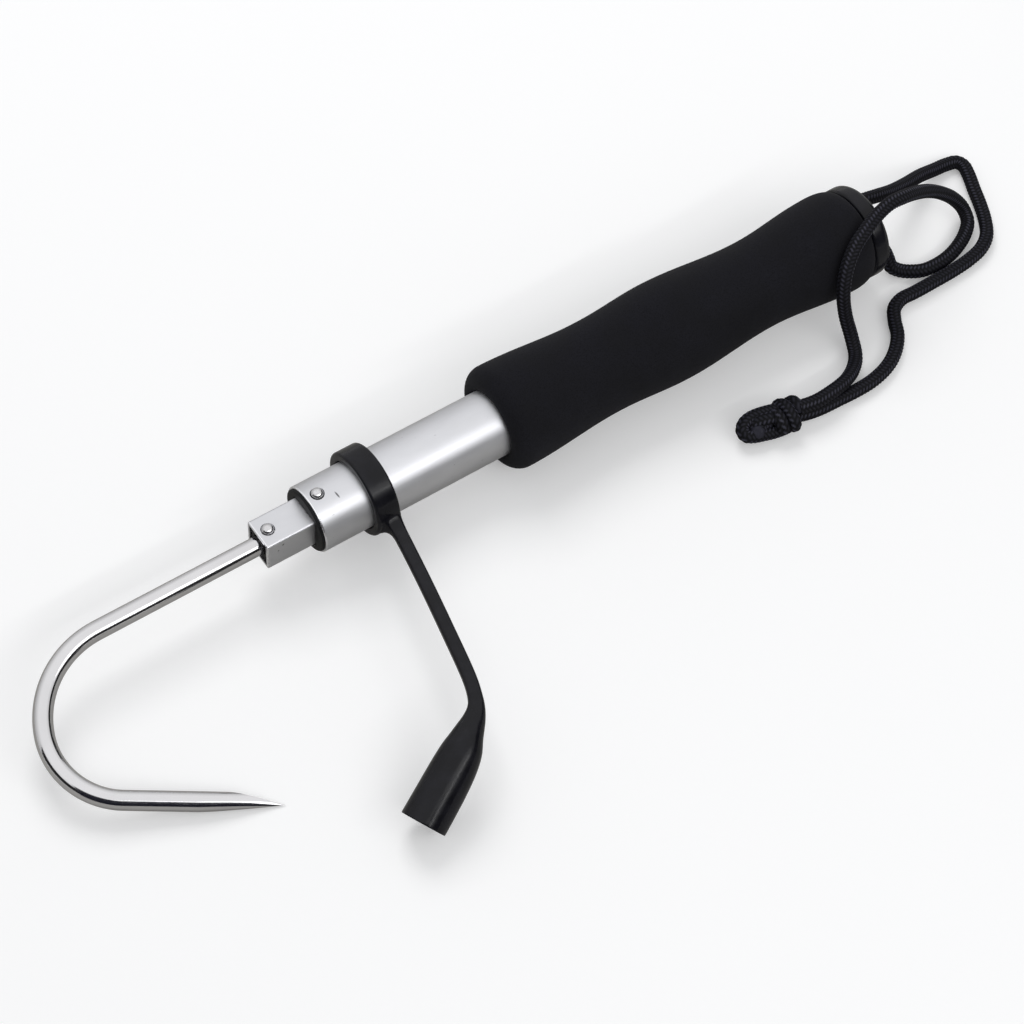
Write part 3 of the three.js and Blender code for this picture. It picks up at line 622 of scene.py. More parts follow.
def turned_steel(colour):
    """Turned and tumbled steel of the buttons and pins"""
    n = Finish("turned_steel")
    rings = n.grain((1500, 1500, 5200), 3)
    n.colour(n.mix(n.spread(rings, 0.3, 0.7), shade(colour, 0.88), shade(colour, 1.02)))
    n.roughness(n.spread(rings, 0.3, 0.7, 0.1, 0.2))
    n.set(Metallic=1.0)
    n.bump(rings, 0.000004, 0.3)
    return n.material


def blued_spring_steel(colour):
    """Rolled spring steel with lines along the strip and a faint temper tint"""
    n = Finish("spring_steel")
    lines = n.grain((120, 5000, 5000))
    straw = (colour[0] * 1.05, colour[1], colour[2] * 0.9)
    n.colour(n.mix(n.spread(n.grain(250, 2), 0.35, 0.65), shade(colour, 0.85), straw))
    n.roughness(n.spread(lines, 0.3, 0.7, 0.22, 0.36))
    n.set(Metallic=1.0)
    n.bump(lines, 0.000006, 0.4)
    return n.material


def moulded_plastic(colour):
    """Hard black plastic with a fine sparked texture and scuffed high spots"""
    n = Finish("moulded_plastic")
    scuffs = n.grain((600, 1700, 1700), 4, 0.65)
    n.colour(n.mix(n.spread(scuffs, 0.5, 0.75), colour, shade(colour, 2.2)))
    n.roughness(n.spread(scuffs, 0.3, 0.75, 0.42, 0.6))
    n.set(Specular_IOR_Level=0.2)
    n.bump(n.grain(5200, 3), 0.00001, 0.4)
    return n.material


def moulded_rubber(colour):
    """Semi-gloss moulded rubber with soft ripples, a fine skin and a trace of bloom"""
    n = Finish("moulded_rubber")
    bloom = n.grain(170, 5, 0.6)
    n.colour(n.mix(n.spread(bloom, 0.42, 0.72), colour, shade(colour, 1.7)))
    n.roughness(n.spread(bloom, 0.3, 0.7, 0.16, 0.25))
    n.set(Specular_IOR_Level=0.22)
    ripples = n.bump(n.grain(240, 2), 0.00016, 0.45)
    n.bump(n.grain(5200, 3), 0.000008, 0.35, under=ripples)
    return n.material


def closed_cell_foam(colour):
    """Matt closed-cell foam, sanded, with pitted pores darkened by painted shade, and faint rubbed
    patches
    """
    n = Finish("closed_cell_foam")
    pore_pits_and_painted_shade, patches = n.cells(2300), n.grain(75, 5, 0.6)
    base = n.mix(n.spread(patches, 0.35, 0.7), shade(colour, 0.8), shade(colour, 1.35))
    # Painted shade darkens the middle of each pore
    n.colour(n.mix(n.spread(pore_pits_and_painted_shade, 0.12, 0.45), shade(colour, 0.35), base))
    n.roughness(n.spread(patches, 0.3, 0.7, 0.8, 0.95))
    n.set(Specular_IOR_Level=0.16, Sheen_Weight=0.02, Sheen_Roughness=0.5)
    pitted = n.bump(n.spread(pore_pits_and_painted_shade, 0.05, 0.5), 0.00006, 0.5)
    n.bump(n.grain(3600, 3, 0.7), 0.00005, 0.4, under=pitted)
    return n.material


def braided_yarn(colour):
    """Tightly braided polyester: the crowns of one lay's yarns are glossier and carry painted
    glints, the pits carry painted shade, and cut ends are fused and smooth"""
    n = Finish("braided_yarn")
    crown, lay, fused = (n.attribute(name) for name in BRAID_LOOKS)
    fibre, worn = n.grain(5200, 4, 0.7), n.grain(260, 3)
    fibre_tone = n.mix(n.spread(fibre, 0.3, 0.7), shade(colour, 0.4), shade(colour, 1.2))
    faded = n.mix(n.spread(worn, 0.45, 0.7), fibre_tone, shade(colour, 1.1))
    # Yarn tops, mostly of one lay: glossier, and where the glints are painted
    top = n.math("MULTIPLY", n.spread(crown, 0.68, 0.96), n.spread(lay, 0.2, 0.8, 0.3, 1.0))
    # Painted glints on the yarn tops
    yarn = n.mix(top, faded, shade(colour, 7.0))
    # Painted shade in the pits between the yarns
    woven_with_painted_pit_shade = n.mix(n.spread(crown, 0.35, 0.8), shade(colour, 0.1), yarn)
    n.colour(n.mix(fused, woven_with_painted_pit_shade, shade(colour, 4.0)))
    n.roughness(n.spread(top, 0.0, 1.0, 0.7, 0.4))
    n.set(Specular_IOR_Level=0.15)
    n.bump(fibre, 0.00004, 0.6)
    return n.material


MAKERS = {
    "aluminium": drawn_aluminium,
    "stainless": polished_stainless,
    "buttons": turned_steel,
    "spring": blued_spring_steel,
    "plastic": moulded_plastic,
    "rubber": moulded_rubber,
    "foam": closed_cell_foam,
    "cord": braided_yarn,
}
made_finishes = {}


def finish_of(context, name):
    """The material of that name, made the first time that it is asked for"""
    if name not in made_finishes:
        colours = context.scene.gaff_finish
        colour = colours.stainless if name == "buttons" else getattr(colours, name)
        made_finishes[name] = MAKERS[name](tuple(colour))
    return made_finishes[name]


# Lanyard

def braid(turn, along, yarns, pitch):
    """A braid in which each yarn goes over two and under two, as its height from 0 to 1 and as
    the share of the yarn on top that winds the first way.
    Turn is the share of a full turn round the cord, along the distance down it."""
    first = yarns * turn + along / pitch
    second = yarns * turn - along / pitch
    first_yarn, second_yarn = np.floor(first), np.floor(second)
    wave_first = np.cos(pi / 2 * (second - 0.5 + first_yarn) - pi / 4)
    wave_second = -np.cos(pi / 2 * (first - 0.5 + second_yarn) - pi / 4)

    def arch(share):
        return np.sqrt(1 - 0.92 * (2 * share - 1) ** 2)

    crown_first = arch(first - first_yarn) + 0.45 * wave_first
    crown_second = arch(second - second_yarn) + 0.45 * wave_second
    height = np.clip((np.maximum(crown_first, crown_second) - 0.25) / 1.2, 0, 1)
    return height, np.clip(0.5 + 2 * (crown_first - crown_second), 0, 1)


def braided_tube(line, sizes, spacing, sides, radius=None, rounded=False):
    """Shell of a braided cord down a line, its looks at each point and its centres. Rounded
    ends are drawn in and fused, as cut cord is."""
    radius = radius or sizes.radius
    long = lengths_along(line)[-1]
    places = np.linspace(0, long, max(3, round(long / spacing) + 1))
    radii, fused = np.full(len(places), radius), np.zeros(len(places))
    if rounded:
        melt = 0.55 * radius
        arc = [(melt * sin(a), radius - melt * (1 - cos(a))) for a in np.linspace(0, 1.5, 9)]
        steps, reaches = np.transpose([*arc, (0.96 * melt, 0.3 * radius)])
        kept = places[(places > melt) & (places < long - melt)]
        places = np.concatenate([(melt - steps)[::-1], kept, long - melt + steps])
        radii = np.concatenate([reaches[::-1], np.full(len(kept), radius), reaches])
        fused = np.clip(1.5 - np.minimum(places, long - places) / melt, 0, 1)
    turn = np.arange(sides) / sides
    height, lay = braid(turn[None], places[:, None], sizes.yarns, sizes.pitch)
    relief = sizes.relief * (height - 0.62) * (1 - fused)[:, None]
    line = spaced(line, places)
    looks = np.stack([height, lay, np.broadcast_to(fused[:, None], height.shape)])
    return skin(tube_rings(line, radii, sides, relief)), looks.reshape(3, -1), line


def braided_piece(name, *tubes):
    """A piece from braided tubes, with the braid's looks kept for the material"""
    piece = new_piece(name, *[shell for shell, _, _ in tubes])
    looks = np.concatenate([look for _, look, _ in tubes], axis=1).astype(np.float32)
    for key, values in zip(BRAID_LOOKS, looks):
        kept = piece.data.attributes.new(key, "FLOAT", "POINT")
        kept.data.foreach_set("value", values)
    return piece


class GAFF_OT_lanyard(Operator):
    """Build the two braided strands, their turn in the end cap and the knot"""

    bl_idname = "gaff.lanyard"
    bl_label = "Lanyard"

    spacing, sides = 0.33 * MM, 40
    end_gap = 0.3 * MM
    wrap_steps, knot_steps, route_steps, turn_steps = 110, 12, 24, 60
    # The knot's wraps in millimetres: start, pitch and lean along X, then their middle to the
    # side, half width and half height
    wrap_start, wrap_pitch, wrap_lean = 6.2, 4.1, 0.2
    wrap_side, wrap_width, wrap_height = 0.6, 3.9, 2.9

    def knot_tubes(self, cord):
        """The knot's wraps, its bight and its two tails, drawn along X in millimetres and then
        placed. The wraps tuck in at both ends."""
        turn = np.linspace(-1.5 * pi, 2.6 * pi, self.wrap_steps)
        spread = 1 - 0.75 * (
            np.exp(-(turn - turn[0]) / 0.3) + np.exp((turn - turn[-1]) / 0.3))
        wraps = np.stack([
            self.wrap_start + self.wrap_pitch * turn / (2 * pi)
            - self.wrap_lean * np.cos(turn - 0.5),
            self.wrap_side + self.wrap_width * spread * np.cos(turn),
            self.wrap_height * spread * np.sin(turn)], axis=1)
        loose = [spline(points, self.knot_steps) for points in (KNOT_BIGHT, *KNOT_TAILS)]
        place = np.array(Matrix.Rotation(KNOT_HEADING, 3, "Z"))
        return [
            braided_tube(
                (line @ place.T + KNOT_START) * MM, cord, self.spacing, self.sides,
                radius=0.98 * cord.radius, rounded=True)
            for line in (wraps, *loose)]

    def execute(self, context):
        cord = context.scene.gaff_cord
        yarn = finish_of(context, "cord")
        knot = braided_piece("knot", *self.knot_tubes(cord))
        dress(knot, "outer_pole", "black_cord", yarn, "lanyard_knot", sharp=80)
        hole = Vector((0, cos(cord.lace_angle), sin(cord.lace_angle))) * cord.lace_radius
        for letter, route, exit_point in (("a", STRAND_A, hole), ("b", STRAND_B, -hole)):
            points = [np.array(exit_point), *(np.array(point) * MM for point in route)]
            tube = braided_tube(
                spline(points, self.route_steps), cord, self.spacing, self.sides)
            strand = braided_piece(f"strand_{letter}", tube)
            dress(strand, "outer_pole", "black_cord", yarn, f"lanyard_strand_{letter}", sharp=80)
        inset = asin(self.end_gap / cord.lace_radius)
        turn = np.linspace(inset, pi - inset, self.turn_steps)[:, None]
        arc = cord.lace_radius * (
            np.cos(turn) * np.array(hole.normalized()) + np.sin(turn) * X_AXIS)
        bridge = braided_piece("lanyard_turn", braided_tube(arc, cord, self.spacing, self.sides))
        dress(bridge, "outer_pole", "black_cord", yarn, "lanyard_bridge", sharp=80)
        return {"FINISHED"}


# Poles, bushing and buttons

def button_places(pole):
    """Where the three snap buttons stand along the closed pole"""
    at_pole = pole.tube_front - POLE_BUTTON_INSET
    return {
        "pole": at_pole,
        "extended": at_pole - pole.pole_travel,
        "hook": pole.square_front - HOOK_BUTTON_INSET,
    }


class GAFF_OT_poles(Operator):
    """Build the round outer pole and the square inner pole"""

    bl_idname = "gaff.poles"
    bl_label = "Poles"

    round_sides, flat_steps = 192, 4
    # The rim is the band at a pole's front end that is polished and painted lighter as a highlight
    chamfer, rim = 0.2 * MM, 0.4 * MM
    pin_inset, pin_hole = 2.25 * MM, 1.3 * MM

    def mark_rim_polish_and_painted_highlight(self, piece, front):
        """Marks a pole's bright-cut front rim for its material, which polishes it and paints a
        highlight on it
        """
        places = np.empty(3 * len(piece.data.vertices))
        piece.data.vertices.foreach_get("co", places)
        marks = piece.data.attributes.new("rim", "FLOAT", "POINT")
        marks.data.foreach_set(
            "value", (places[::3] > front - 1.05 * self.rim).astype(np.float32))

    def execute(self, context):
        pole = context.scene.gaff_pole
        metal = finish_of(context, "aluminium")
        outer, inner, edge = pole.tube_radius, pole.tube_radius - pole.tube_wall, self.chamfer
        rear, front = pole.tube_rear, pole.tube_front
        tube = new_piece("outer_pole_tube", skin(revolved([
            (rear, outer - edge), (rear + edge, outer), (front - self.rim - edge / 4, outer),
            (front - self.rim, outer - edge / 10), (front - 0.7 * edge, outer - 0.6 * edge),
            (front, outer - 1.3 * edge), (front, inner + edge), (front - edge, inner),
            (rear + edge, inner), (rear, inner + edge),
        ], self.round_sides), looped=True))
        hole = pole.button_radius + pole.fit_gap
        at = button_places(pole)
        bore(tube, hole, (at["pole"], 0, 0), (at["pole"], 0, 2 * outer))
        self.mark_rim_polish_and_painted_highlight(tube, front)
        dress(tube, "outer_pole", "aluminium_tube", metal, "outer_tube", sharp=12)

        side, corner = pole.square_side, pole.square_corner
        inside = side - 2 * pole.square_wall
        rear, front = pole.square_rear, pole.square_front
        square = new_piece("inner_pole_tube", skin([
            square_ring(x, wide, rounding, self.flat_steps) for x, wide, rounding in (
                (rear, side, corner), (front - 1.2 * self.rim, side, corner),
                (front - self.rim, side, corner), (front - edge, side, corner),
                (front, side - 2 * edge, corner - edge), (front, inside, pole.fit_gap),
                (rear, inside, pole.fit_gap))], looped=True))
        for x in at.values():
            bore(square, hole, (x, 0, 0), (x, 0, side))
        pin_x = rear - pole.fit_gap + self.pin_inset
        bore(square, self.pin_hole, (pin_x, -side, 0), (pin_x, side, 0))
        self.mark_rim_polish_and_painted_highlight(square, front)
        dress(square, "inner_pole", "aluminium_tube", metal, "square_tube")
        return {"FINISHED"}


class GAFF_OT_bushing(Operator):
    """Build the flanged bushing between the two poles"""

    bl_idname = "gaff.bushing"
    bl_label = "Bushing"

    flat_steps = 16
    edge, rounding = 0.25 * MM, 0.6 * MM

    def execute(self, context):
        pole = context.scene.gaff_pole
        wide, edge = pole.square_side + 2 * pole.fit_gap, self.edge
        sleeve = pole.tube_radius - pole.tube_wall - pole.fit_gap
        flange = pole.tube_radius - pole.flange_inset
        rear = pole.tube_front - pole.bushing_length
        flange_rear = pole.tube_front + pole.fit_gap / 3
        front = flange_rear + pole.bushing_flange

        def square(x, grown=0.0):
            return square_ring(x, wide + grown, pole.square_corner + grown / 2, self.flat_steps)

        outward = unit(square(0)[:, 1:])
        profile = [(rear, sleeve - edge), (rear + edge, sleeve), (flange_rear, sleeve),
                   (flange_rear, flange), *front_edge(front, flange, self.rounding, 6)]
        rings = [
            np.column_stack([np.full(len(outward), x), radius * outward])
            for x, radius in profile]
        rings += [square(front, edge), square(front - edge / 2), square(rear)]
        bushing = new_piece("bushing", skin(rings, looped=True))
        x = button_places(pole)["pole"]
        bore(bushing, pole.button_radius + pole.fit_gap, (x, 0, 0), (x, 0, pole.tube_radius))
        dress(bushing, "outer_pole", "black_plastic", finish_of(context, "plastic"),
              "front_bushing")
        return {"FINISHED"}


class GAFF_OT_buttons(Operator):
    """Build the three domed snap buttons"""

    bl_idname = "gaff.buttons"
    bl_label = "Snap buttons"

    collar, collar_height, dome = 0.95 * MM, 0.6 * MM, 1.5 * MM
    dome_top, trim_gap = 0.02 * MM, 0.1 * MM
    dome_steps, sides = 16, 64

    def button(self, name, pole, x, top, sink=0):
        """A domed button on its collar, from its place along the pole, its top, and how far it
        is pressed down"""
        collar_top = pole.square_side / 2 - pole.square_wall - pole.fit_gap - sink
        collar_radius, radius = pole.button_radius + self.collar, pole.button_radius
        low = collar_top - self.collar_height
        profile = [(low, AXIS_RADIUS), (low, collar_radius), (collar_top, collar_radius),
                   (collar_top, radius)]
        profile += [(top - self.dome + self.dome * s, max(radius * c, self.dome_top))
                    for c, s in quarter(self.dome_steps)]
        piece = new_piece(name, skin(revolved(profile, self.sides)))
        piece.data.transform(Matrix.Translation((x, 0, 0)) @ Matrix.Rotation(-pi / 2, 4, "Y"))
        return piece

    def execute(self, context):
        pole = context.scene.gaff_pole
        steel = finish_of(context, "buttons")
        at = button_places(pole)
        pole_top = pole.tube_radius + pole.button_proud
        hidden_top = pole.tube_radius - pole.tube_wall - pole.fit_gap
        button = self.button("pole_snap_button", pole, at["pole"], pole_top)
        dress(button, "pole_button", "stainless", steel, "pole_button")
        button = self.button(
            "extended_snap_button", pole, at["extended"], hidden_top, pole_top - hidden_top)
        dress(button, "inner_pole", "stainless", steel, "extended_button")
        hook_top = pole.square_side / 2 + pole.button_proud
        button = self.button("hook_snap_button", pole, at["hook"], hook_top)
        trim, reach = at["hook"] + pole.button_radius + self.trim_gap, pole.square_side
        cut(button, box_cutter((trim, -reach, 0), (trim + reach, reach, reach)))
        dress(button, "hook_button", "stainless", steel, "hook_button")
        return {"FINISHED"}


# Hook

class GAFF_OT_hook(Operator):
    """Build the bent wire hook with its ground point"""

    bl_idname = "gaff.hook"
    bl_label = "Hook"

    sides = 64
    shank_steps, bend_steps, throat_steps, point_steps, taper_steps = 24, 48, 56, 12, 56
    # The ground point: how its belly and its sides curve in, how its rings crowd to the tip,
    # and where the tip and the flat lie
    belly_power, ogive_power, crowding = 1.3, 1.6, 1.3
    tip_offset, tip_half, flat_length, flat_clear = 0.6 * MM, 0.03 * MM, 17 * MM, 0.1 * MM
    shank_flat, plug_recess = 0.3 * MM, 1.2 * MM
    pin_hole, pin_inset, pin_drop = 1.2 * MM, 8.5 * MM, 1.2 * MM

    def arc(self, centre, radius, start, end, steps):
        """Points of a bend in the hook's plane"""
        return [
            (centre[0] + radius * sin(a), centre[1] - radius * cos(a), 0)
            for a in np.linspace(start, end, steps)]

    def execute(self, context):
        hook, pole = context.scene.gaff_hook, context.scene.gaff_pole
        wire, turn = hook.wire_radius, hook.bend_angle
        straight = pi - hook.point_opening
        bend = (hook.shank_start + hook.shank_length, hook.bend_radius)
        step = hook.bend_radius - hook.throat_radius
        throat = (bend[0] + step * sin(turn), bend[1] - step * cos(turn))
        line = [(x, 0, 0) for x in np.linspace(hook.shank_start, bend[0], self.shank_steps)]
        line += self.arc(bend, hook.bend_radius, 0, turn, self.bend_steps)[1:]
        line += self.arc(throat, hook.throat_radius, turn, straight, self.throat_steps)[1:]
        along = np.array([cos(straight), sin(straight), 0])
        outward = np.array([along[1], -along[0], 0])
        base = np.array(line[-1])
        parallel = hook.point_length - hook.point_taper
        line += [base + along * s for s in np.linspace(0, parallel, self.point_steps)[1:]]
        radii, depths = [wire] * len(line), [1] * len(line)
        for share in (1 - np.linspace(0, 1, self.taper_steps)[1:]) ** self.crowding:
            belly = self.tip_offset + (wire - self.tip_offset) * (
                1 - (1 - share) ** self.belly_power)
            line.append(
                base + along * (hook.point_length - share * hook.point_taper)
                + outward * (belly - wire) / 2)
            radii.append((belly + wire) / 2)
            ogive = wire * (1 - (1 - share) ** self.ogive_power)
            depths.append(max(ogive, self.tip_half) / radii[-1])
        rings = tube_rings(np.array(line), radii, self.sides)
        rings[..., 2] *= np.array(depths)[:, None]
        piece = new_piece("hook_wire", skin(rings))

        lean = atan2(wire + self.tip_offset, self.flat_length)
        tip = Vector(base + along * hook.point_length + outward * self.tip_offset)
        place = (
            Matrix.Translation(tip - Vector(outward) * self.flat_clear)
            @ Matrix.Rotation(atan2(-along[1], -along[0]) - lean, 4, "Z"))
        size = 2 * wire
        cut(piece, box_cutter((-size, -size, -size), (2 * hook.point_taper, 0, size), place))
        piece.data.transform(Matrix.Rotation(-hook.dip, 4, "X"))

        half = pole.square_side / 2
        cut(piece, box_cutter(
            (hook.shank_start - wire, -half, self.shank_flat),
            (pole.square_front - self.plug_recess, half, half)))
        pin_x, pin_z = pole.square_front - self.pin_inset, -self.pin_drop
        bore(piece, self.pin_hole, (pin_x, -half, pin_z), (pin_x, half, pin_z))
        dress(piece, "hook", "stainless", finish_of(context, "stainless"), "hook")
        return {"FINISHED"}


# Grip and end cap

class GAFF_OT_grip(Operator):
    """Build the foam grip with its two waists"""

    bl_idname = "gaff.grip"
    bl_label = "Foam grip"

    sides = 128
    rear_steps, span_steps, front_steps = 10, 24, 14
    bore_edge, unevenness = 0.4 * MM, 0.05 * MM
    seed, smoothing = 4, 40

    def wobble(self, rings):
        """Slight unevenness of sanded foam, the same at each run"""
        noise = np.random.default_rng(self.seed).normal(size=(rings, self.sides))
        for _ in range(self.smoothing):
            noise = (noise + np.roll(noise, 1, 1) + np.roll(noise, -1, 1)
                     + np.vstack([noise[1:], noise[-1:]])
                     + np.vstack([noise[:1], noise[:-1]])) / 5
        return noise * (self.unevenness / np.abs(noise).max())

    def execute(self, context):
        grip, pole = context.scene.gaff_grip, context.scene.gaff_pole
        rear = grip.cap_thickness + pole.fit_gap
        front = rear + grip.length
        inner = pole.tube_radius + pole.fit_gap
        radii = [grip.rear_radius, grip.rear_waist, grip.swell, grip.front_waist,
                 grip.front_radius]
        profile = rear_edge(
            rear, grip.rear_radius, grip.rear_round, self.rear_steps,
            GRIP_STATIONS[0] * grip.length)
        for k in range(len(radii) - 1):
            for t in np.arange(1, self.span_steps + 1) / self.span_steps:
                share = GRIP_STATIONS[k] + (GRIP_STATIONS[k + 1] - GRIP_STATIONS[k]) * t
                ease = (1 - cos(pi * t)) / 2
                profile.append((rear + share * grip.length,
                                radii[k] + (radii[k + 1] - radii[k]) * ease))
        profile += front_edge(
            front, grip.front_radius, grip.front_round, self.front_steps,
            (1 - GRIP_STATIONS[-1]) * grip.length)[1:]
        outside = len(profile)
        profile += [(front - self.bore_edge, inner), (rear + self.bore_edge, inner)]
        rings = revolved(profile, self.sides)
        rings[:outside, :, 1:] += (
            unit(rings[:outside, :, 1:]) * self.wobble(outside)[..., None])
        piece = new_piece("grip_foam", skin(rings, looped=True))
        dress(piece, "outer_pole", "black_foam", finish_of(context, "foam"), "foam_grip",
              sharp=60)
        return {"FINISHED"}


class GAFF_OT_end_cap(Operator):
    """Build the rubber end cap with its two cord holes"""

    bl_idname = "gaff.end_cap"
    bl_label = "End cap"

    sides, tunnel_steps, tunnel_sides = 160, 96, 40
    boss, spigot, rounding = 4.2 * MM, 11.7 * MM, 1.3 * MM
    spigot_wall, boss_wall = 2.2 * MM, 2.5 * MM

    def execute(self, context):
        grip, pole, cord = (
            context.scene.gaff_grip, context.scene.gaff_pole, context.scene.gaff_cord)
        front = grip.cap_thickness
        boss_front, spigot_front = front + self.boss, front + self.spigot
        sleeve = pole.tube_radius - pole.tube_wall - pole.fit_gap
        hollow = sleeve - self.spigot_wall
        floor = boss_front + self.boss_wall
        piece = new_piece("cap", skin(revolved([
            (0, AXIS_RADIUS), (0, 0.75 * grip.cap_radius),
            *rear_edge(0, grip.cap_radius, grip.cap_round, 10),
            *front_edge(front, grip.cap_radius, self.rounding, 6),
            (front, pole.tube_radius), (boss_front, pole.tube_radius),
            (boss_front, sleeve), (spigot_front, sleeve), (spigot_front, hollow),
            (floor, hollow), (floor, AXIS_RADIUS)], self.sides)))
        hole = np.array([0, cos(cord.lace_angle), sin(cord.lace_angle)])
        turn = np.linspace(0, 2 * pi, self.tunnel_steps, endpoint=False)[:, None]
        line = cord.lace_radius * (np.cos(turn) * hole + np.sin(turn) * X_AXIS)
        outward = unit(line)
        level = np.cross(hole, X_AXIS)
        around = np.linspace(0, 2 * pi, self.tunnel_sides, endpoint=False)[None, :, None]
        reach = cord.radius + pole.fit_gap
        rings = (line[:, None] + reach * np.cos(around) * outward[:, None]
                 + reach * np.sin(around) * level)
        cut(piece, new_piece("cutter", skin(rings, looped=True)))
        dress(piece, "outer_pole", "black_rubber", finish_of(context, "rubber"), "end_cap")
        return {"FINISHED"}


# Tip guard

class GAFF_OT_tip_guard(Operator):
    """Build the rubber tip guard: ring, strap and hollow cap in one moulding"""

    bl_idname = "gaff.tip_guard"
    bl_label = "Tip guard"

    sides, ring_sides = 64, 160
    steps, smoothing = 14, 80
    lip, bore_end, bore_tip, overrun = 0.4 * MM, 3.6 * MM, 0.1 * MM, 2 * MM
    ring_edge, ring_lip, front_lip = 0.9 * MM, 0.25 * MM, 0.9 * MM
    # How much squarer than an oval the strap is, and the swell from which it is an oval
    squareness, oval_swell = 1.2, 0.3
    # Fillets round the strap's root: how far they spread and where they start, in millimetres
    fillet_length = 6.5 * MM
    front_fillet, rear_fillet = (2.6, 0.8), (0.6, 0.8)
    upper_fillet, lower_fillet = (3.6, 0.9), (3.2, -0.6)

    def swell(self, places):
        """Smooth reading of the swell table"""
        table = spline([(k, s, 0) for k, s in enumerate(GUARD_SWELL)], 16)
        return np.clip(np.interp(places, table[:, 0], table[:, 1]), 0, 1)

    def execute(self, context):
        guard, pole = context.scene.gaff_guard, context.scene.gaff_pole
        inner = pole.tube_radius + pole.fit_gap
        outer = inner + guard.ring_wall
        root = np.array([guard.ring_centre, (inner + outer) / 2, 0])
        stations = np.array(GUARD_PATH) * guard.reach + root
        line = spline(stations, self.steps)
        swell = self.swell(np.arange(len(line)) / self.steps)
        mouth = 2 * guard.mouth_radius
        width = guard.strap_width + (mouth - guard.strap_width) * swell
        height = guard.strap_thickness + (mouth - guard.strap_thickness) * swell
        square = 2 + self.squareness * (1 - np.clip(swell / self.oval_swell, 0, 1))
        flowing = np.column_stack([line, width, height, square])
        for _ in range(self.smoothing):
            flowing[1:-1] = (flowing[:-2] + 2 * flowing[1:-1] + flowing[2:]) / 4
        line, width, height, square = flowing[:, :3], *flowing[:, 3:].T
        axis = unit(stations[-1] - stations[-3])
        for c, s in quarter(6)[1:]:
            line = np.vstack([line, stations[-1] + axis * self.lip * s])
            width = np.append(width, mouth - self.lip * (1 - c))
            height = np.append(height, mouth - self.lip * (1 - c))
            square = np.append(square, 2)
        tangents = unit(np.gradient(line, axis=0))
        level = unit(np.cross(tangents, Z_AXIS))
        up = np.cross(level, tangents)
        turn = np.linspace(0, 2 * pi, self.sides, endpoint=False)
        c, s = np.cos(turn)[None], np.sin(turn)[None]
        along, power = lengths_along(line), (2 / square)[:, None]

        def fillet(reach, start):
            """Quarter round beside the strap where it leaves the ring"""
            left = 1 - np.clip((along - start * MM) / self.fillet_length, 0, 1)
            return (reach * MM * (1 - np.sqrt(1 - left**2)))[:, None]

        wide = width[:, None] / 2 + np.where(
            c > 0, fillet(*self.front_fillet), fillet(*self.rear_fillet))
        tall = height[:, None] / 2 + np.where(
            s > 0, fillet(*self.upper_fillet), fillet(*self.lower_fillet))
        across = wide * np.sign(c) * np.abs(c) ** power
        rise = tall * np.sign(s) * np.abs(s) ** power
        rings = line[:, None] + across[..., None] * level[:, None] + rise[..., None] * up[:, None]
        piece = new_piece("guard", skin(rings))

        half, middle = (
            (guard.ring_width + self.front_lip) / 2, guard.ring_centre + self.front_lip / 2)
        bore(piece, inner, (middle - 3 * half, 0, 0), (middle + 3 * half, 0, 0), self.ring_sides)
        rear, front, lip = middle - half, middle + half, self.ring_lip
        ring = new_piece("ring", skin(revolved([
            (rear + lip, inner), (rear, inner + lip),
            *rear_edge(rear, outer, self.ring_edge, 8),
            *front_edge(front, outer, self.ring_edge, 8),
            (front, inner + lip), (front - lip, inner)], self.ring_sides), looped=True))
        combine(piece, ring, "UNION")

        deep, narrow = guard.bore_depth, self.bore_end
        wide = guard.mouth_radius - guard.mouth_wall
        hollow = new_piece("cutter", skin(revolved([
            (-deep, self.bore_tip), (-deep, narrow / 2), (narrow / 2 - deep, narrow), (0, wide),
            (self.lip, wide + self.lip / 2), (self.overrun, wide + self.lip)], self.sides)))
        pitch, heading = asin(-axis[2]), atan2(axis[1], axis[0])
        hollow.data.transform(
            Matrix.Translation(stations[-1]) @ Euler((0, pitch, heading)).to_matrix().to_4x4())
        cut(piece, hollow)
        dress(piece, "tip_guard", "black_rubber", finish_of(context, "rubber"), "tip_guard",
              sharp=45)
        return {"FINISHED"}


# Parts that keep the form of their solids

class GAFF_OT_inner_parts(Operator):
    """Finish the springs, pins, guide and hook plug, and put a copy in place of each spring that a
    joint lists as bending
    """

    bl_idname = "gaff.inner_parts"
    bl_label = "Inner parts"

    finishes = {
        "pole_button_spring": "spring",
        "extended_button_spring": "spring",
        "hook_button_spring": "spring",
        "rear_guide": "plastic",
        "hook_plug": "plastic",
        "rear_guide_pin": "buttons",
        "hook_cross_pin": "buttons",
    }

    def leaf_spring(self, context, joint, node, foot):
        """A copy of a leaf spring's solid, finished and put on its body in the solid's place"""
        solid = frame["nodes"][node]
        spring = bpy.data.objects.new(node.replace("button", "leaf"), solid.data.copy())
        context.scene.collection.objects.link(spring)
        dress(spring, solid["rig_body"], "spring_steel", finish_of(context, "spring"), node)
        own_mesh(spring)

    def execute(self, context):
        for node, name in self.finishes.items():
            mesh = frame["nodes"][node].data
            mesh.materials.clear()
            mesh.materials.append(finish_of(context, name))
            mesh.shade_smooth()
            mesh.set_sharp_from_angle(angle=radians(32))
        for joint in frame["joints"]:
            for bent in joint.get("deforming_nodes", ()):
                self.leaf_spring(context, joint, bent["node"], bent["fixed_end_z_m"])
        return {"FINISHED"}


# Stage

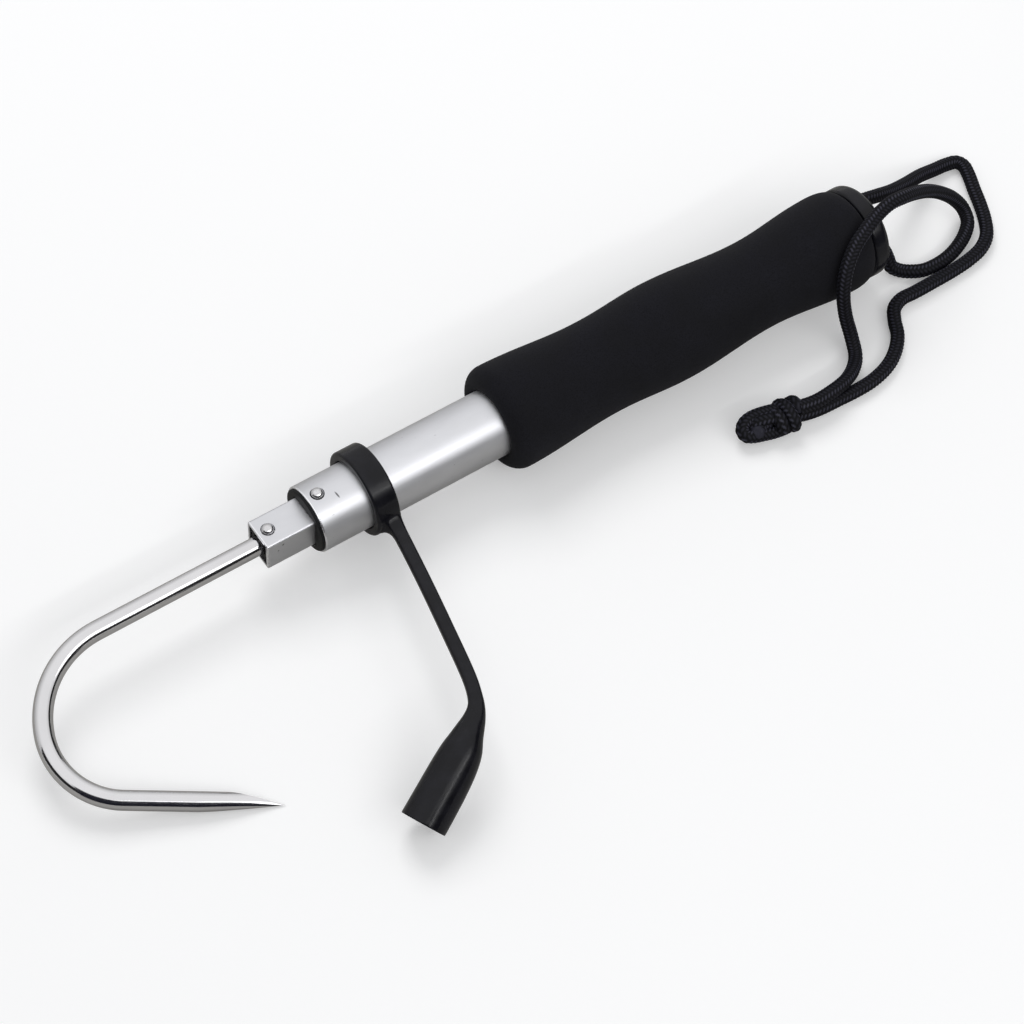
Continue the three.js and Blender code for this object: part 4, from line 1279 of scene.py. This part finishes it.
class GAFF_OT_stage(Operator):
    """Set up the camera, floor, soft lamps and world"""

    bl_idname = "gaff.stage"
    bl_label = "Stage"

    camera_place = (0.4477, 0.3933, 0.6766)
    camera_turn = (34.24, -2.65, 145.51)
    lens, sensor = 95.09, 36
    floor_reach, floor_glow = 6.0, 0.25
    # Lamps: name, place, size, radiance, and whether reflections show it
    lamps = (
        ("key", (-0.1, -0.75, 1.05), (0.7, 0.7), 4.1, False),
        ("front_box", (0.15, 1.0, 1.0), (2.0, 0.5), 1.4, True),
        ("side_strip", (0.1, 0.95, 0.75), (1.1, 0.05), 8.0, True),
    )
    aim = Vector((0.15, 0.02, 0))
    soft_light, soft_strength = (0.97, 0.98, 1, 1), 0.45
    # The sky in reflections: from this height to that one it goes from dim to white
    sky = (0.0, 0.8, 0.5, 1.0)
    wall_heights, wall_radii, wall_turn = (0.0, 0.75), (1.5, 1.52), (-0.3, pi + 0.3)
    flag_half, flag_thickness, flag_top = 0.14, 0.002, 0.185
    flag_place, flag_turn = (0.364, 0.187, 0), 148.8
    card_corners, card_heights = ((-0.25, -0.3), (0.55, 0.45)), (0.1 * MM, 0.3 * MM)

    def camera(self, scene):
        data = bpy.data.cameras.new("camera")
        data.lens, data.sensor_width = self.lens, self.sensor
        data.clip_start, data.clip_end = 0.01, 50
        camera = bpy.data.objects.new("camera", data)
        camera.location = self.camera_place
        camera.rotation_euler = [radians(a) for a in self.camera_turn]
        scene.collection.objects.link(camera)
        scene.camera = camera

    def floor(self, context):
        """A pale floor, a little brighter to the camera and in reflections and glass"""
        reach = self.floor_reach
        corners = [(-reach, -reach), (reach, -reach), (reach, reach), (-reach, reach)]
        mesh = bpy.data.meshes.new("floor")
        mesh.from_pydata([(x, y, cad_low.z) for x, y in corners], [], [(0, 1, 2, 3)])
        floor = bpy.data.objects.new("floor", mesh)
        context.scene.collection.objects.link(floor)
        n = Finish("pale_floor")
        colour = tuple(context.scene.gaff_finish.floor)
        n.colour(n.mix(n.grain(3, 3), shade(colour, 0.99), shade(colour, 1.01)))
        n.set(Roughness=0.9, Specular_IOR_Level=0.1)
        glow = n.add("ShaderNodeEmission")
        glow.inputs["Color"].default_value = (1, 1, 1, 1)
        rays = n.add("ShaderNodeLightPath").outputs
        seen = n.math("MAXIMUM", rays["Is Camera Ray"], n.math(
            "MAXIMUM", rays["Is Glossy Ray"], rays["Is Transmission Ray"]))
        n.link(n.math("MULTIPLY", seen, self.floor_glow), glow.inputs["Strength"])
        total = n.add("ShaderNodeAddShader")
        n.link(n.shader.outputs["BSDF"], total.inputs[0])
        n.link(glow.outputs["Emission"], total.inputs[1])
        n.link(total.outputs["Shader"], n.surface)
        mesh.materials.append(n.material)

    def reflector(self, prop, cloth, low, high):
        """Makes a studio prop that only reflections see, in a cloth between two colours"""
        n = Finish(cloth)
        n.colour(n.mix(n.grain(40), low, high))
        n.set(Roughness=0.95, Specular_IOR_Level=0.0)
        prop.data.materials.append(n.material)
        prop.visible_camera = prop.visible_diffuse = prop.visible_shadow = False
        prop.visible_transmission = prop.visible_volume_scatter = False

    def reflectors(self):
        """Low dark wall in front of the stage, a dark flag beside the hook's point and a grey
        card round the gaff"""
        (low, high), (near, far) = self.wall_heights, self.wall_radii
        rings = [
            [(r * cos(a), r * sin(a), z) for r, z in (
                (near, low), (near, high), (far, high), (far, low))]
            for a in np.linspace(*self.wall_turn, 48)]
        wall = new_piece("dark_surround", skin(rings))
        self.reflector(wall, "dark_felt", (0.02, 0.02, 0.02), (0.03, 0.03, 0.03))
        flag = box_cutter(
            (-self.flag_half, 0, cad_low.z), (self.flag_half, self.flag_thickness, self.flag_top),
            Matrix.Translation(self.flag_place)
            @ Matrix.Rotation(radians(self.flag_turn), 4, "Z"))
        flag.name = "hook_flag"
        self.reflector(flag, "flag_felt", (0.012, 0.012, 0.02), (0.018, 0.018, 0.028))
        (left, front), (right, back) = self.card_corners
        under, over = self.card_heights
        card = box_cutter((left, front, cad_low.z + under), (right, back, cad_low.z + over))
        card.name = "grey_card"
        self.reflector(card, "grey_cloth", (0.43, 0.42, 0.395), (0.46, 0.45, 0.425))

    def lamp(self, scene, name, place, size, radiance, glossy):
        """Rectangular lamp aimed at the gaff, with its brightness given as radiance"""
        data = bpy.data.lights.new(name, "AREA")
        data.shape, data.size, data.size_y = "RECTANGLE", *size
        data.energy = pi * size[0] * size[1] * radiance
        lamp = bpy.data.objects.new(name, data)
        lamp.location = place
        lamp.rotation_euler = (self.aim - Vector(place)).to_track_quat("-Z", "Y").to_euler()
        lamp.visible_camera = False
        lamp.visible_glossy = glossy
        scene.collection.objects.link(lamp)

    def world(self, scene):
        """Soft light, and a white sky that reflections see dimmer towards the horizon"""
        world = bpy.data.worlds.new("studio")
        scene.world = world
        world.use_nodes = True
        n = Nodes(world.node_tree)
        soft, seen = n.add("ShaderNodeBackground"), n.add("ShaderNodeBackground")
        soft.inputs["Color"].default_value = self.soft_light
        soft.inputs["Strength"].default_value = self.soft_strength
        seen.inputs["Color"].default_value = (1, 1, 1, 1)
        rays = n.add("ShaderNodeLightPath").outputs
        parts = n.add("ShaderNodeSeparateXYZ")
        n.link(n.places["Generated"], parts.inputs[0])
        direct = n.math("MAXIMUM", rays["Is Camera Ray"], rays["Is Transmission Ray"])
        n.link(n.math("MAXIMUM", direct, n.spread(parts.outputs["Z"], *self.sky)),
               seen.inputs["Strength"])
        mix = n.add("ShaderNodeMixShader")
        n.link(n.math("MAXIMUM", direct, rays["Is Glossy Ray"]), mix.inputs["Fac"])
        n.link(soft.outputs[0], mix.inputs[1])
        n.link(seen.outputs[0], mix.inputs[2])
        n.link(mix.outputs[0], n.add("ShaderNodeOutputWorld").inputs["Surface"])

    def execute(self, context):
        scene = context.scene
        self.camera(scene)
        self.floor(context)
        self.reflectors()
        for lamp in self.lamps:
            self.lamp(scene, *lamp)
        self.world(scene)
        scene.view_settings.view_transform = "Standard"
        return {"FINISHED"}


class GAFF_PT_panel(Panel):
    """Sizes, finishes and the buttons that build the pieces"""

    bl_label = "Fishing Gaff"
    bl_idname = "GAFF_PT_panel"
    bl_space_type = "VIEW_3D"
    bl_region_type = "UI"
    bl_category = "Gaff"

    def draw(self, context):
        for group in GROUPS:
            box = self.layout.box()
            box.label(text=group.__doc__)
            settings = getattr(context.scene, GROUPS[group])
            for key in group.__annotations__:
                box.prop(settings, key)
        for operator in OPERATORS:
            self.layout.operator(operator.bl_idname)


GROUPS = {
    GaffPole: "gaff_pole",
    GaffGrip: "gaff_grip",
    GaffHook: "gaff_hook",
    GaffGuard: "gaff_guard",
    GaffCord: "gaff_cord",
    GaffFinish: "gaff_finish",
}
OPERATORS = (
    GAFF_OT_lanyard,
    GAFF_OT_poles,
    GAFF_OT_bushing,
    GAFF_OT_buttons,
    GAFF_OT_hook,
    GAFF_OT_grip,
    GAFF_OT_end_cap,
    GAFF_OT_tip_guard,
    GAFF_OT_inner_parts,
    GAFF_OT_stage,
)


def register():
    for cls in (*GROUPS, *OPERATORS, GAFF_PT_panel):
        bpy.utils.register_class(cls)
    for group, name in GROUPS.items():
        setattr(bpy.types.Scene, name, PointerProperty(type=group))


def unregister():
    for name in GROUPS.values():
        delattr(bpy.types.Scene, name)
    for cls in reversed((*GROUPS, *OPERATORS, GAFF_PT_panel)):
        bpy.utils.unregister_class(cls)


def main():
    register()
    bpy.ops.gaff.lanyard()
    bpy.ops.gaff.poles()
    bpy.ops.gaff.bushing()
    bpy.ops.gaff.buttons()
    bpy.ops.gaff.hook()
    bpy.ops.gaff.grip()
    bpy.ops.gaff.end_cap()
    bpy.ops.gaff.tip_guard()
    bpy.ops.gaff.inner_parts()
    bpy.ops.gaff.stage()


if __name__ == "__main__":
    main()
